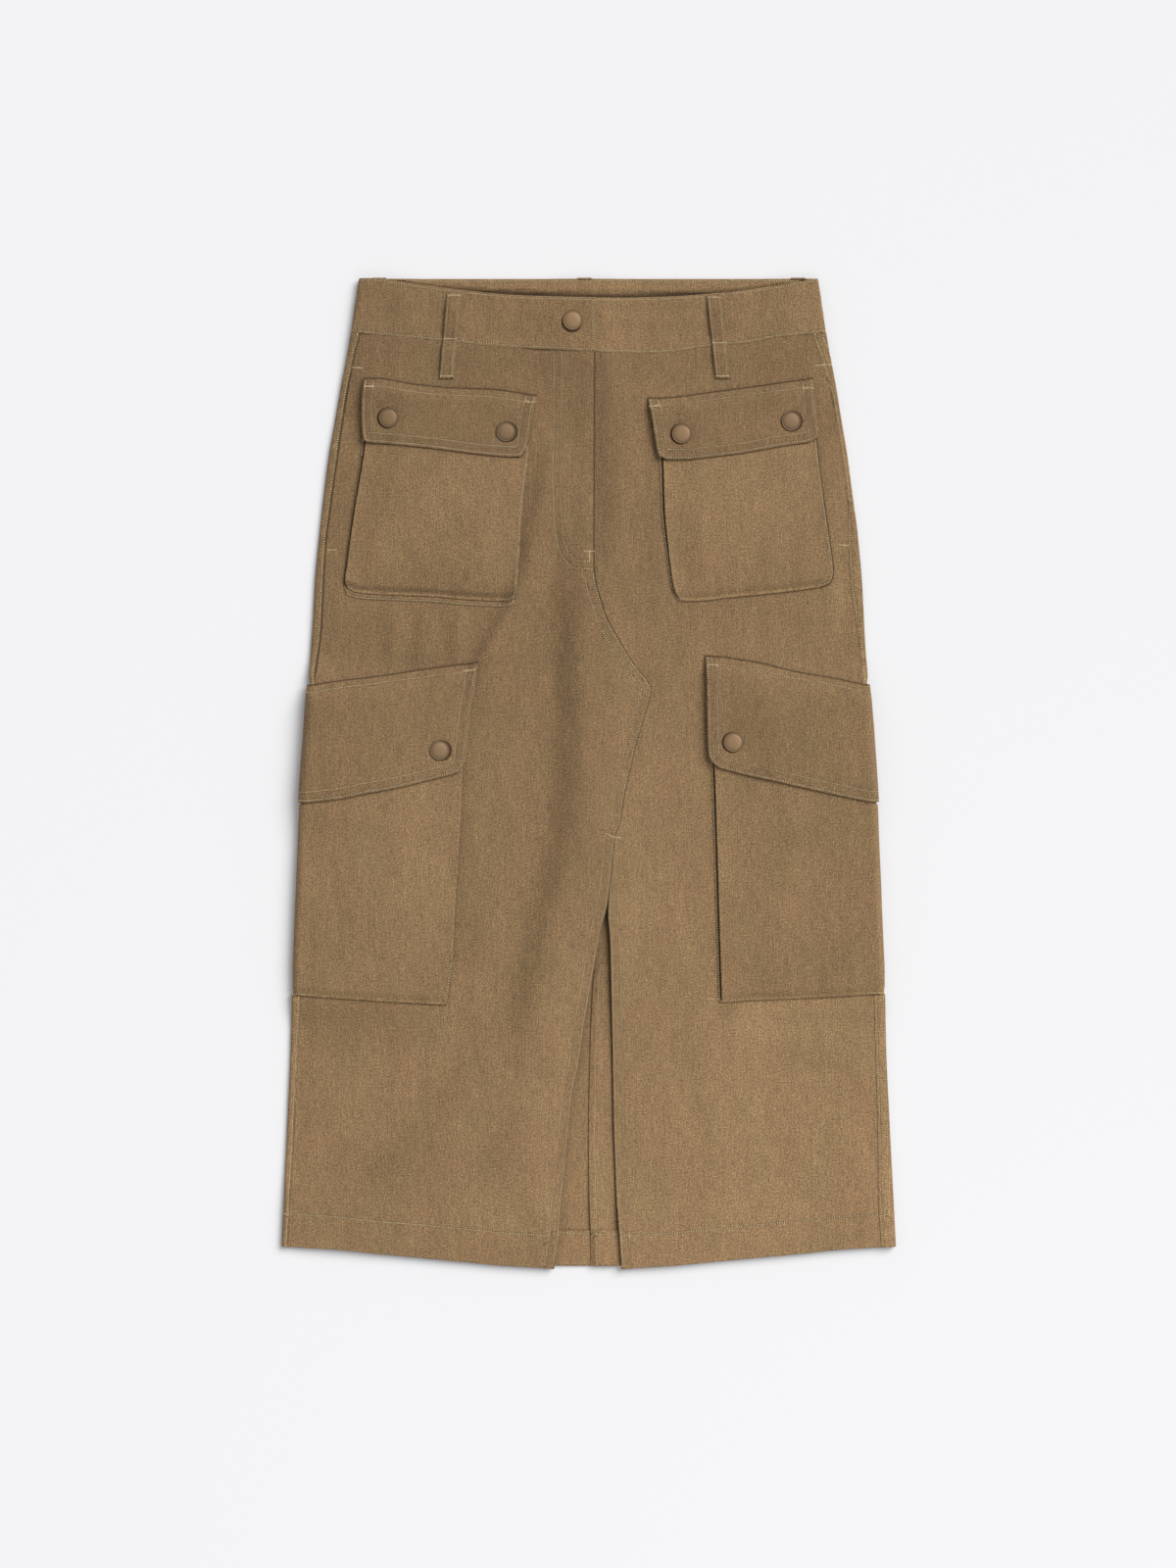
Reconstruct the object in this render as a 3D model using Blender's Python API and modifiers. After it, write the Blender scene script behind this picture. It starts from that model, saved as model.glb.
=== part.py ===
"""Cargo utility skirt in cotton twill, laid flat on its back with the front up.

All sizes below are in millimetres and become metres when a mesh is made. "up" is the
height along the skirt above the lowest point of the front hem, "out" the distance from
the centre line towards a side, and left and right are as the flat skirt is seen from
above with its waistband away from the viewer. The floor is z = 0.
"""

import math
from collections import namedtuple

import bpy
import bmesh
from mathutils import Vector

MM = 0.001

# Driving sizes of the garment
LENGTH = 747.0  # front hem to back waistband
BAND_TOP = LENGTH
BAND_SEAM = 706.0  # where the waistband is sewn on, at the side folds and all round the back
HEM_SIDE = 17.0  # the hem curves up to the side folds
HEM_BACK = 2.3  # the back hem is this much shorter at the centre
HEM_TURN = 26.5  # depth of the turned-up hem
LOOP_PEEK = 0.8  # the back belt loops fold over the top edge by this much
MIDDLE_UP = (LENGTH + LOOP_PEEK) / 2  # lies at y = 0

# Plies, as solid walls
CLOTH = 1.1  # one ply of twill
FLAP = 1.6  # two plies of a pocket flap
BAND = 2.0  # waistband, two plies and interfacing
LOOP = 1.4  # belt loop
EASE = 0.5  # air between plies that lie on each other
INSIDE = 0.9  # air between the front and the back
SEAM_GAP = 0.3  # between pieces that meet edge to edge

# Cargo pockets, which fold round the sides
CARGO_BOTTOM = 208.0  # at the side fold
CARGO_BACK = 52.0  # how far the pocket runs on under the back
FLAP_BACK = 57.0  # how far its flap does
FLAP_BOTTOM = 351.0  # at the side fold
FLAP_TOP = 440.0
FLAP_SLOPE = 0.14  # the flap falls by this much for each millimetre towards the back
FLAP_STEP = 1.0  # the flap stands out past the side by this much
MOUTH_BELOW_FLAP = 16.0  # pocket mouths lie this far below the top edge of their flap

MOUTH_EASE = 0.13  # extra air between a flap and the mouth

POCKET_STACK = 2 * (CLOTH + EASE)  # gusset and face
FLAP_STACK = FLAP + EASE
LIFT_RUN = 50.0  # length over which the back comes down beside a pocket
LIFT_END = 28.0  # the same below and above it
SIDE_RUN = 6.0  # length over which the side fold moves in above or below one

# Snaps and belt loops
SNAP_RADIUS = 7.5
SNAP_PROFILE = (  # rows of (radius, height): the dome, the groove inside the rim, and the rim
    (0.0, 1.9), (3.4, 1.78), (5.7, 1.4), (6.2, 1.15), (7.0, 1.2), (SNAP_RADIUS, 0.7), (7.4, 0.2),
    (7.0, 0.0), (0.0, 0.0),
)
SNAP_SEAT = 0.35  # air under a snap's cap
BELT_LOOP_WIDTH = 11.0
BELT_LOOP_BOTTOM = 671.5
BELT_LOOP_BOW = 1.3  # the loop bows off the waistband by this much
BELT_LOOP_RUN = 30.0  # length over which the back comes down beside a back loop
BACK_LOOPS = {"left": -158.0, "centre": -3.0, "right": 158.0}

SIDES = {"left": -1, "right": 1}

# half width out to the side folds, and how far in from the fold each side seam lies on the front
Section = namedtuple("Section", "up side seam_left seam_right")
SECTIONS = (
    Section(17, 232.3, 5.0, 11.5),
    Section(42, 231.0, 5.5, 12.0),
    Section(105, 228.0, 6.0, 9.8),
    Section(160, 225.4, 6.0, 8.7),
    Section(208, 224.0, 6.8, 8.9),
    Section(280, 221.0, 6.5, 8.0),
    Section(352, 218.0, 6.0, 6.5),
    Section(441, 211.7, 4.8, 4.6),
    Section(484, 208.6, 7.0, 6.0),
    Section(516, 206.9, 6.9, 9.0),
    Section(549, 204.0, 6.0, 8.0),
    Section(578, 200.7, 6.4, 5.2),
    Section(613, 196.2, 6.8, 4.9),
    Section(633, 192.8, 6.2, 4.9),
    Section(664, 187.5, 6.0, 5.6),
    Section(691, 182.3, 6.2, 8.2),
    Section(706, 179.8, 7.2, 11.0),
    Section(747, 173.6, 7.2, 11.0),
)

# rows of (out, up): how the hem rises from the centre front to the side folds
HEM_CURVE = ((26, 0.0), (42, 1.2), (65, 2.6), (90, 5.0), (125, 8.3), (165, 12.0), (190, 14.6), (232, 17.0))

# rows of (x, up) along the waistband's front: the seam below it and the dipped edge above
BAND_FRONT_SEAM = (
    (-180, 706), (-148, 703), (-104, 699), (-60, 695), (-15, 692.5), (14, 691), (51, 690.5),
    (88, 695), (118, 698), (148, 703), (180, 706),
)
BAND_FRONT_TOP = (
    (-160, 747), (-126, 742.5), (-97, 739), (-60, 735.5), (-15, 733.5), (14, 733), (59, 734),
    (103, 737.5), (133, 741), (159, 744.5), (172, 747),
)

# rows of (up, x): the left front's edge runs up the slit, over the bartack, out to the point
# of the centre seam and back to the fly
LEFT_FRONT_EDGE = (
    (0, -26), (26, -22), (51, -20), (79, -17), (102, -15), (136, -11), (152, -7.5), (177, -4),
    (213, 2), (230, 5), (258, 10), (274, 14), (300, 17.5), (327, 20.3), (335, 23.5), (354, 26.7),
    (383, 33), (399, 37), (418, 42.7), (438, 47.4), (455, 35.4), (475, 22.6), (494, 12.7),
    (506, 9), (516, 6), (526, 4.7), (541, 4.2), (626, 4.4), (700, 4.8),
)
# the right front's edge shows in the slit and runs under the left front above it
RIGHT_FRONT_EDGE = (
    (0, 25), (28, 23), (56, 21), (79, 20), (108, 19), (165, 18), (213, 17), (250, 16), (267, 14.6),
    (287, 15.4), (300, 13), (327, 11), (354, 16), (383, 22), (418, 31), (438, 35), (455, 23),
    (475, 10), (494, 1), (516, -10), (535, -22), (700, -22),
)
SLIT_TOP = 287.0  # below this the two fronts lie side by side
FRONT_LAP_RUN = 22.0  # length over which the left front comes down beside the lap
SEAM_INSIDE = 2.2  # a side seam lies at least this far inside the axis of its fold

# centre back: the right back laps over the left back on the inside; rows of (up, x)
BACK_SEAM_EDGE = ((0, 2), (31, 1.6), (99, 0), (160, 1), (195, 2.3), (219, 3.6), (230, 5), (747, 5))
BACK_SEAM_LAP = 10.0
BACK_SEAM_RUN = 22.0

BAND_LAP_EDGE = 5.0  # the left half of the waistband ends here
BAND_UNDERLAP = -32.0  # and the right half runs on under it to here
BAND_LAP_RUN = 26.0
BAND_ON_SEAM = 0.4  # the band takes up this share of the height of the felled seam below it
BAND_GAPE = 1.0  # the front band stands off the back one by this much more at its top
WAIST_RISE = 1.2  # the fronts rise by this to the thicker waistband
WAIST_RUN = 28.0

# soft folds in the fronts: the crest as rows of (up, x), how far it runs out to each side
Fold = namedtuple("Fold", "crest left_run right_run height")
FOLDS = (
    Fold(((60, -66), (92, -59), (190, -39), (264, -24), (314, -10), (412, -8), (600, -9)), 30, 44, 1.5),
    Fold(((30, -146), (55, -132), (120, -90), (165, -60)), 24, 34, 1.1),
    Fold(((440, -78), (462, -70), (501, -48), (530, -38)), 18, 22, 0.9),
    Fold(((530, 16), (560, 18), (620, 21), (660, 22)), 16, 24, 0.8),
    Fold(((30, 88), (60, 93), (110, 98), (180, 108)), 34, 40, 0.8),
)
FOLD_FADE = 38.0  # length over which a fold dies out at its ends

# A patch's side edges are rows of (up, x), its lower and upper edges rows of (x, up)
Patch = namedtuple("Patch", "left right bottom top")
HIP_FACES = {
    "left": Patch(
        left=((513, -181), (518, -183.5), (531, -182), (569, -176.8), (624, -168), (658, -165)),
        right=((505, -56.5), (509, -54.5), (515, -54), (544, -52), (572, -50), (618, -45), (647, -43)),
        bottom=((-181, 513), (-176, 510.5), (-164, 509), (-118, 507), (-88, 504.5), (-62, 503.5),
                (-56.5, 505)),
        top=((-165, 658), (-43, 647)),
    ),
    "right": Patch(
        left=((504.5, 69), (509, 66), (515, 64), (543, 60.3), (573, 57.4), (609, 56.4), (646, 54)),
        right=((514, 174), (517.5, 183), (526, 185), (549, 182.4), (574, 178.7), (620, 173), (657, 170)),
        bottom=((69, 504.5), (74, 503.6), (88, 504), (103, 506), (134, 509), (164, 512.6), (174, 514)),
        top=((54, 646), (170, 657)),
    ),
}
HIP_FLAPS = {
    "left": Patch(
        left=((623, -167), (625, -169.5), (629, -170.3), (646, -171), (672, -169.5)),
        right=((612, -51), (618, -46.8), (629, -44.5), (642, -43), (659, -38.5)),
        bottom=((-167, 623), (-149, 621.5), (-118, 618.3), (-75, 613), (-60, 612), (-51, 612)),
        top=((-169.5, 672), (-160, 672), (-134, 668), (-104, 665), (-75, 664), (-38.5, 659)),
    ),
    "right": Patch(
        left=((610, 59), (613.5, 52.8), (618, 51.6), (640, 48), (657, 44.6)),
        right=((623, 165), (625, 170), (629, 173.6), (646, 171), (672, 169)),
        bottom=((59, 610), (75, 610), (88, 611.3), (118, 615), (149, 620.6), (165, 623)),
        top=((44.6, 657), (60, 657.5), (88, 661), (118, 665), (148, 669), (169, 672)),
    ),
}
# how far a hip gusset's base shows past the face: at its left edge, right edge and bottom
HIP_REVEALS = {"left": (2.2, 0.0, 3.0), "right": (2.2, 0.0, 0.4)}

# A cargo piece's inner edge is rows of (up, out), its front lower and upper edges rows of (out, up)
Cargo = namedtuple("Cargo", "inner bottom top")
CARGO_FACES = {
    "left": Cargo(
        inner=((199, 107), (218, 104), (238, 102), (283, 100), (328, 97), (371, 95), (442, 91)),
        bottom=((107, 199), (134, 200.5), (187, 204), (217, 206.5), (224, 208)),
        top=((91, 441), (122, 437), (159, 431.5), (188, 428), (213, 424)),
    ),
    "right": Cargo(
        inner=((201, 100.5), (249, 99), (283, 98), (317, 97), (378, 95), (446, 92)),
        bottom=((100, 201), (125, 202.6), (153, 203.8), (193, 206), (224, 208)),
        top=((92, 446), (127, 441), (157, 435), (188, 429.5), (213, 424)),
    ),
}
CARGO_FLAPS = {
    "left": Cargo(
        inner=((373, 102), (375.5, 97), (382, 93.4), (395, 92), (423, 88.4), (437, 86), (458, 83.3)),
        bottom=((102, 373), (122, 368), (145, 362.5), (166, 358.6), (190, 354), (217, 351)),
        top=((83.3, 458), (122, 453), (159, 447.5), (188, 444), (213, 440)),
    ),
    "right": Cargo(
        inner=((378, 98), (381, 94.5), (387, 90.5), (402, 89.6), (444, 89), (463, 88)),
        bottom=((98, 378), (120, 372), (142, 367.3), (165, 362), (188, 357), (217, 351)),
        top=((88, 463), (100, 462), (127, 458), (157, 451), (188, 445.5), (213, 440)),
    ),
}
CARGO_REVEALS = {"left": 0.3, "right": 1.5}

# soft crown of a pocket's face: centre, half width, half height, height of the crown
Crown = namedtuple("Crown", "x up half_width half_height height")
CROWNS = (
    Crown(-116, 570, 66, 68, 1.3),
    Crown(119, 570, 64, 68, 1.3),
    Crown(-158, 285, 60, 85, 1.2),
    Crown(158, 285, 60, 85, 1.2),
)

SNAPS = {  # (x, up) of each cap's centre
    "snap_hip_left_outer": (-151.6, 641.3),
    "snap_hip_left_inner": (-61.0, 631.0),
    "snap_hip_right_inner": (69.0, 629.3),
    "snap_hip_right_outer": (153.6, 639.0),
    "snap_cargo_left": (-110.6, 391.0),
    "snap_cargo_right": (108.0, 397.2),
    "snap_waistband": (-12.6, 713.6),
}

# the front belt loops lean: x of the middle at the loop's lower and upper end
FRONT_LOOPS = {"left": (-107.2, -101.2, 735.5), "right": (101.2, 94.4, 734.0)}

# colour, roughness, metallic
FINISHES = {
    "twill": ((0.283, 0.187, 0.098, 1.0), 0.9, 0.0),
    "snap_metal": ((0.270, 0.170, 0.105, 1.0), 0.42, 0.6),
}


# ---------------------------------------------------------------- arithmetic

def ramp(value, start, end):
    """Smooth 0 to 1 as value goes from start to end."""
    share = min(1.0, max(0.0, (value - start) / (end - start)))
    return 0.5 - 0.5 * math.cos(math.pi * share)


def lookup(rows, key):
    """Second column of a table at a key of its first, straight between rows."""
    if key <= rows[0][0]:
        return rows[0][1]
    for (key0, value0), (key1, value1) in zip(rows, rows[1:]):
        if key <= key1:
            return value0 + (value1 - value0) * (key - key0) / (key1 - key0)
    return rows[-1][1]


def blend(start, end, share):
    return start + (end - start) * share


def column(name):
    """Rows of (up, value) for one named column of the sections."""
    return tuple((section.up, getattr(section, name)) for section in SECTIONS)


HALF_WIDTHS = column("side")
SEAM_WIDTHS = {"left": column("seam_left"), "right": column("seam_right")}


# ---------------------------------------------------------------- plan of the body

def hem_up(x):
    """Height of the front hem's edge."""
    return lookup(HEM_CURVE, abs(x))


def back_hem_up(x):
    return hem_up(x) + HEM_BACK * ramp(abs(x), 90.0, 35.0)


def body_up(x, nominal, hem=hem_up, waist=None):
    """Height of a nominal row: the rows bend to the hem below and to the band seam above."""
    shift = (hem(x) - HEM_SIDE) * (1 - ramp(nominal, 44.0, 160.0))
    if waist:
        shift += (lookup(waist, x) - BAND_SEAM) * ramp(nominal, 560.0, BAND_SEAM)
    return nominal + shift


def hem_rise(up):
    """1 in the turned-up hem, easing to 0 above it."""
    return ramp(up, HEM_SIDE + HEM_TURN + 40.0, HEM_SIDE + HEM_TURN)


def waist_rise(x, up):
    """The fronts come up to the thicker waistband."""
    seam = lookup(BAND_FRONT_SEAM, x)
    return WAIST_RISE * ramp(up, seam - WAIST_RUN, seam - 2.0)


def body_radius(up):
    """Outer radius of the side fold."""
    return (3 * CLOTH + INSIDE + EASE + 2 * CLOTH * hem_rise(up) + waist_rise(180, up)) / 2


def side_inset(up):
    """How far the body's side fold lies inside the pocket that folds round it."""
    below_flap_top = FLAP_TOP - up
    pocket = ramp(up, CARGO_BOTTOM - SIDE_RUN - 1, CARGO_BOTTOM - 1) * ramp(below_flap_top, 0, 15)
    flap = ramp(up, FLAP_BOTTOM - SIDE_RUN - 1, FLAP_BOTTOM - 1) * ramp(up, FLAP_TOP + 8, FLAP_TOP + 1)
    return POCKET_STACK * pocket + (FLAP_STACK - FLAP_STEP) * flap


def fold_axis(up):
    """Distance out to the axis that the plies of a side fold share."""
    return lookup(HALF_WIDTHS, up) - body_radius(up) - side_inset(up)


def side_seam(side, up):
    """Distance out to the side seam, where the back's edge lies on the front."""
    seam = lookup(HALF_WIDTHS, up) - lookup(SEAM_WIDTHS[side], up)
    return min(seam, fold_axis(up) - SEAM_INSIDE)


# ---------------------------------------------------------------- heights of the layers

def flap_top_back(reach):
    return FLAP_TOP - FLAP_SLOPE * min(max(reach, 0.0), FLAP_BACK)


def flap_bottom_back(reach):
    return FLAP_BOTTOM - FLAP_SLOPE * min(max(reach, 0.0), FLAP_BACK)


def lift_over_flap(x, up):
    """Lift of what lies over a cargo flap's under part."""
    reach = fold_axis(up) - abs(x)
    along = ramp(reach, FLAP_BACK + 1 + LIFT_RUN, FLAP_BACK + 1)
    low = flap_bottom_back(reach)
    high = flap_top_back(reach)
    ends = ramp(up, low - LIFT_END, low - 1) * ramp(up, high + LIFT_END, high + 1)
    return FLAP_STACK * along * ends


def lift_over_pocket(x, up):
    """Lift of what lies over a cargo pocket's under part, besides that over its flap."""
    reach = fold_axis(up) - abs(x)
    along = ramp(reach, CARGO_BACK + 1 + LIFT_RUN, CARGO_BACK + 1)
    mouth = flap_top_back(reach) - MOUTH_BELOW_FLAP
    ends = ramp(up, CARGO_BOTTOM - LIFT_END, CARGO_BOTTOM - 2) * ramp(up, mouth + 40, mouth)
    return POCKET_STACK * along * ends


def lift_over_loops(x, up):
    lift = 0.0
    for middle in BACK_LOOPS.values():
        beside = abs(x - middle) - BELT_LOOP_WIDTH / 2
        lift = max(lift, (LOOP + EASE) * ramp(beside, 2 + BELT_LOOP_RUN, 2))
    return lift * ramp(up, BELT_LOOP_BOTTOM - 3 - BELT_LOOP_RUN, BELT_LOOP_BOTTOM - 3)


def back_rest(x, up):
    """Underside of the body: the floor, or what lies between it and the floor."""
    return lift_over_flap(x, up) + lift_over_pocket(x, up) + lift_over_loops(x, up)


def back_lap(x, up):
    """Extra height of the felled seam at the centre back."""
    middle = lookup(BACK_SEAM_EDGE, up) + BACK_SEAM_LAP / 2
    share = ramp(abs(x - middle), BACK_SEAM_LAP / 2 + BACK_SEAM_RUN, BACK_SEAM_LAP / 2 + 1.5)
    return (CLOTH + EASE + CLOTH * hem_rise(up)) * share


def folds(x, up):
    height = 0.0
    for fold in FOLDS:
        crest = lookup(fold.crest, up)
        run = fold.left_run if x < crest else fold.right_run
        low, high = fold.crest[0][0], fold.crest[-1][0]
        ends = ramp(up, low, low + FOLD_FADE) * ramp(up, high, high - FOLD_FADE)
        height += fold.height * ends * ramp(abs(x - crest), run, 0)
    return height


def front_lap(x, up):
    """Lift of the left front over the edge of the right front."""
    edge = lookup(RIGHT_FRONT_EDGE, up)
    along = ramp(up, SLIT_TOP - 40, SLIT_TOP - 4)
    return (CLOTH + EASE) * along * ramp(x, edge - FRONT_LAP_RUN, edge - 1.5)


def front_top(x, up):
    """Upper face of the fronts, without the lap."""
    plies = 2 * CLOTH + INSIDE + 2 * CLOTH * hem_rise(up - hem_up(x) + HEM_SIDE)
    return back_rest(x, up) + back_lap(x, up) + plies + waist_rise(x, up) + folds(x, up)


def body_top(x, up):
    """Upper face of the body with the side seam's lap, for what is sewn on it."""
    side = "left" if x < 0 else "right"
    seam = side_seam(side, up)
    return front_top(x, up) + (CLOTH + EASE) * ramp(abs(x), seam - 14, seam - 1.5)


def crown(x, up):
    height = 0.0
    for spot in CROWNS:
        across = min(1.0, abs(x - spot.x) / spot.half_width)
        along = min(1.0, abs(up - spot.up) / spot.half_height)
        height += spot.height * ramp(across, 1, 0) * ramp(along, 1, 0)
    return height


def band_top(x, up):
    """Upper face of the front waistband, without the lap: it opens a little at the top."""
    gape = BAND_GAPE * ramp(abs(x), 150, 40) * ramp(up, BAND_SEAM - 10, BAND_TOP - 12)
    return back_rest(x, up) + BAND_ON_SEAM * back_lap(x, up) + 2 * BAND + INSIDE + gape


def band_lap(x):
    return (BAND + EASE) * ramp(x, BAND_UNDERLAP - BAND_LAP_RUN, BAND_UNDERLAP - 1.5)


# ---------------------------------------------------------------- making meshes

def make_material(name):
    colour, roughness, metallic = FINISHES[name]
    material = bpy.data.materials.new(name)
    material.use_nodes = True
    shader = material.node_tree.nodes["Principled BSDF"]
    shader.inputs["Base Color"].default_value = colour
    shader.inputs["Roughness"].default_value = roughness
    shader.inputs["Metallic"].default_value = metallic
    material.diffuse_color = colour
    return material


def add_object(name, mesh, finish):
    obj = bpy.data.objects.new(name, mesh)
    material = make_material(finish)
    material.name = name + "_" + finish
    mesh.materials.append(material)
    skirt.objects.link(obj)
    return obj


def sheet(name, columns, rows, place, finish="twill", keep=None):
    """Closed wall of cloth on a grid.

    place(column, row, inner) gives (x, up, z) of the outer or the inner face, and keep
    chooses the grid's squares by their column and row.
    """
    grid = bmesh.new()
    bmesh.ops.create_grid(grid, x_segments=columns, y_segments=rows, size=0.5)
    for vert in grid.verts:
        vert.co.x = (vert.co.x + 0.5) * columns
        vert.co.y = (vert.co.y + 0.5) * rows
    if keep:
        middles = {face: face.calc_center_median() for face in grid.faces}
        cut = [face for face, at in middles.items() if not keep(int(at.x), int(at.y))]
        bmesh.ops.delete(grid, geom=cut, context="FACES")
    inner_wall = bmesh.ops.extrude_face_region(grid, geom=grid.faces[:])["geom"]
    inner_verts = {item for item in inner_wall if isinstance(item, bmesh.types.BMVert)}
    for vert in inner_verts:
        vert.co.z = -1
    bmesh.ops.recalc_face_normals(grid, faces=grid.faces)
    for vert in grid.verts:
        x, up, z = place(round(vert.co.x), round(vert.co.y), vert in inner_verts)
        vert.co = Vector((x, up - MIDDLE_UP, z)) * MM
    if grid.calc_volume(signed=True) < 0:
        bmesh.ops.reverse_faces(grid, faces=grid.faces)
    mesh = bpy.data.meshes.new(name)
    grid.to_mesh(mesh)
    grid.free()
    return add_object(name, mesh, finish)


def patch_point(patch, u, v):
    """Point of a patch between its four edges, u across and v up it, each 0 to 1."""
    left_up = blend(patch.left[0][0], patch.left[-1][0], v)
    right_up = blend(patch.right[0][0], patch.right[-1][0], v)
    low_x = blend(patch.bottom[0][0], patch.bottom[-1][0], u)
    high_x = blend(patch.top[0][0], patch.top[-1][0], u)
    left = Vector((lookup(patch.left, left_up), left_up))
    right = Vector((lookup(patch.right, right_up), right_up))
    low = Vector((low_x, lookup(patch.bottom, low_x)))
    high = Vector((high_x, lookup(patch.top, high_x)))
    low_left, low_right = Vector(patch.bottom[0]), Vector(patch.bottom[-1])
    high_left, high_right = Vector(patch.top[0]), Vector(patch.top[-1])
    corners = low_left.lerp(low_right, u).lerp(high_left.lerp(high_right, u), v)
    return left.lerp(right, u) + low.lerp(high, v) - corners


def patch_sheet(name, patch, us, vs, low, thickness, keep=None):
    """A flat piece inside four edges: low(x, up) is its underside."""

    def place(i, j, inner):
        x, up = patch_point(patch, us[i], vs[j])
        return x, up, low(x, up) + (0 if inner else thickness)

    return sheet(name, len(us) - 1, len(vs) - 1, place, keep=keep)


# A wrapped piece runs over the front, round a side fold and on under the back. Its stations
# across are pairs of a run and how far along it: "front" from the inner edge to the fold's
# axis, "fold" from the front to the back, "back" from the axis to the edge under the back.
FOLD_STEPS = (("front", 1.0), ("fold", 0.25), ("fold", 0.5), ("fold", 0.75), ("back", 0.0))


def stations(front, back):
    """Stations with these shares of the front run and of the back run."""
    return tuple(("front", t) for t in front) + FOLD_STEPS + tuple(("back", t) for t in back)


def wrap_sheet(name, side, across, rows, plan, top, bottom, thickness, keep=None):
    """A piece that wraps round one side fold.

    plan(run, share, row) gives (out, up) on the front or back run, top(x, up) is the upper
    face on the front and bottom(x, up) the lower face under the back. thickness(run, up) is
    the wall.
    """
    sign = SIDES[side]

    def place(i, j, inner):
        run, share = across[i]
        if run == "fold":
            out, up = plan("front", 1.0, rows[j])
        else:
            out, up = plan(run, share, rows[j])
        wall = thickness(run, up) if inner else 0.0
        if run == "front":
            return sign * out, up, top(sign * out, up) - wall
        if run == "back":
            return sign * out, up, bottom(sign * out, up) + wall
        high = top(sign * out, up)
        low = bottom(sign * out, up)
        radius = (high - low) / 2 - blend(thickness("front", up), thickness("back", up), share) * inner
        turn = math.pi * share
        return sign * (out + radius * math.sin(turn)), up, (high + low) / 2 + radius * math.cos(turn)

    return sheet(name, len(across) - 1, len(rows) - 1, place, keep=keep)


# ---------------------------------------------------------------- body

# nominal heights of the body's rows: closer where the hem ends and beside the pockets' edges
HEM_EDGE = HEM_SIDE + HEM_TURN
BODY_ROWS = (
    HEM_SIDE, 30, HEM_EDGE, HEM_EDGE + 0.8, 56, 70, 84, 110, 140, 162, 176, 186, 196, 201, 207, 218,
    240, 265, 290, 314, 325, 335, 343.5, 350, 362, 385, 405, 416, 424.5, 432, 440, 448.5, 458, 468, 480,
    498, 516, 531, 550, 578, 606, 630, 643, 655, 668, 678, 690, BAND_SEAM - SEAM_GAP,
)


def hem_plies(nominal):
    return 2 if nominal < HEM_EDGE + 0.4 else 1


def panel_sheet(name, side, shares, inner_edge, lap):
    """A front, from its edge at the centre to just inside the side fold."""
    sign = SIDES[side]

    def place(i, j, inner):
        nominal = BODY_ROWS[j]
        outer_x = sign * (fold_axis(nominal) - SEAM_GAP)
        guess_up = body_up(outer_x, nominal)
        for _ in range(3):
            x = blend(lookup(inner_edge, guess_up), outer_x, shares[i])
            guess_up = body_up(x, nominal, waist=BAND_FRONT_SEAM)
        high = front_top(x, guess_up) + lap(x, guess_up)
        return x, guess_up, high - (CLOTH * hem_plies(nominal) if inner else 0)

    return sheet(name, len(shares) - 1, len(BODY_ROWS) - 1, place)


def make_fronts():
    left_shares = (0, 0.05, 0.1, 0.15, 0.21, 0.28, 0.36, 0.44, 0.51, 0.58, 0.65, 0.72, 0.8, 0.89, 0.96, 1)
    right_shares = (0, 0.06, 0.12, 0.19, 0.27, 0.35, 0.42, 0.49, 0.56, 0.63, 0.7, 0.78, 0.88, 0.96, 1)
    panel_sheet("front_panel_left", "left", left_shares, LEFT_FRONT_EDGE, front_lap)
    panel_sheet("front_panel_right", "right", right_shares, RIGHT_FRONT_EDGE, lambda x, up: 0.0)


def make_back(side):
    """A back, whose outer strip folds round the side and lies on the front."""
    sign = SIDES[side]
    under = BACK_SEAM_LAP if side == "left" else 0.0

    def plan(run, share, nominal):
        axis = fold_axis(nominal)
        if run == "front":
            out = blend(side_seam(side, nominal), axis, share)
            return out, body_up(sign * out, nominal, waist=BAND_FRONT_SEAM)
        edge = lookup(BACK_SEAM_EDGE, nominal) + under
        out = blend(axis, sign * edge, share)
        return out, body_up(sign * out, nominal, hem=back_hem_up)

    def top(x, up):
        return front_top(x, up) + EASE + CLOTH

    def bottom(x, up):
        if side == "left":
            return back_rest(x, up)
        edge = lookup(BACK_SEAM_EDGE, up) + BACK_SEAM_LAP
        lap = CLOTH + EASE + CLOTH * hem_rise(up)
        return back_rest(x, up) + lap * ramp(x, edge + BACK_SEAM_RUN, edge + 1.5)

    def thickness(run, up):
        return CLOTH * (hem_plies(up) if run == "back" else 1)

    back = (0.05, 0.13, 0.21, 0.28, 0.34, 0.4, 0.47, 0.56, 0.68, 0.79, 0.86, 0.91, 0.955, 1)
    across = stations((0,), back)
    wrap_sheet(f"back_panel_{side}", side, across, BODY_ROWS, plan, top, bottom, thickness)


# ---------------------------------------------------------------- waistband

def make_front_band(side):
    """Half of the front waistband, folded round the side to the seam under the back."""
    sign = SIDES[side]
    back_run = 10.0

    def plan(run, share, v):
        middle = blend(BAND_SEAM, BAND_TOP, v)
        axis = fold_axis(middle)
        if run == "back":
            return blend(axis, axis - back_run, share), middle
        inner = -BAND_LAP_EDGE if side == "left" else BAND_UNDERLAP
        out = blend(inner, axis, share)
        low = lookup(BAND_FRONT_SEAM, sign * out)
        high = lookup(BAND_FRONT_TOP, sign * out)
        return out, blend(low, high, v)

    def top(x, up):
        return band_top(x, up) + (band_lap(x) if side == "left" else 0)

    across = stations((0, 0.07, 0.14, 0.2, 0.27, 0.36, 0.46, 0.58, 0.7, 0.82, 0.91), (0.5, 1))
    wrap_sheet(f"waistband_front_{side}", side, across, (0, 0.35, 0.7, 1), plan, top, back_rest,
               lambda run, up: BAND)


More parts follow.
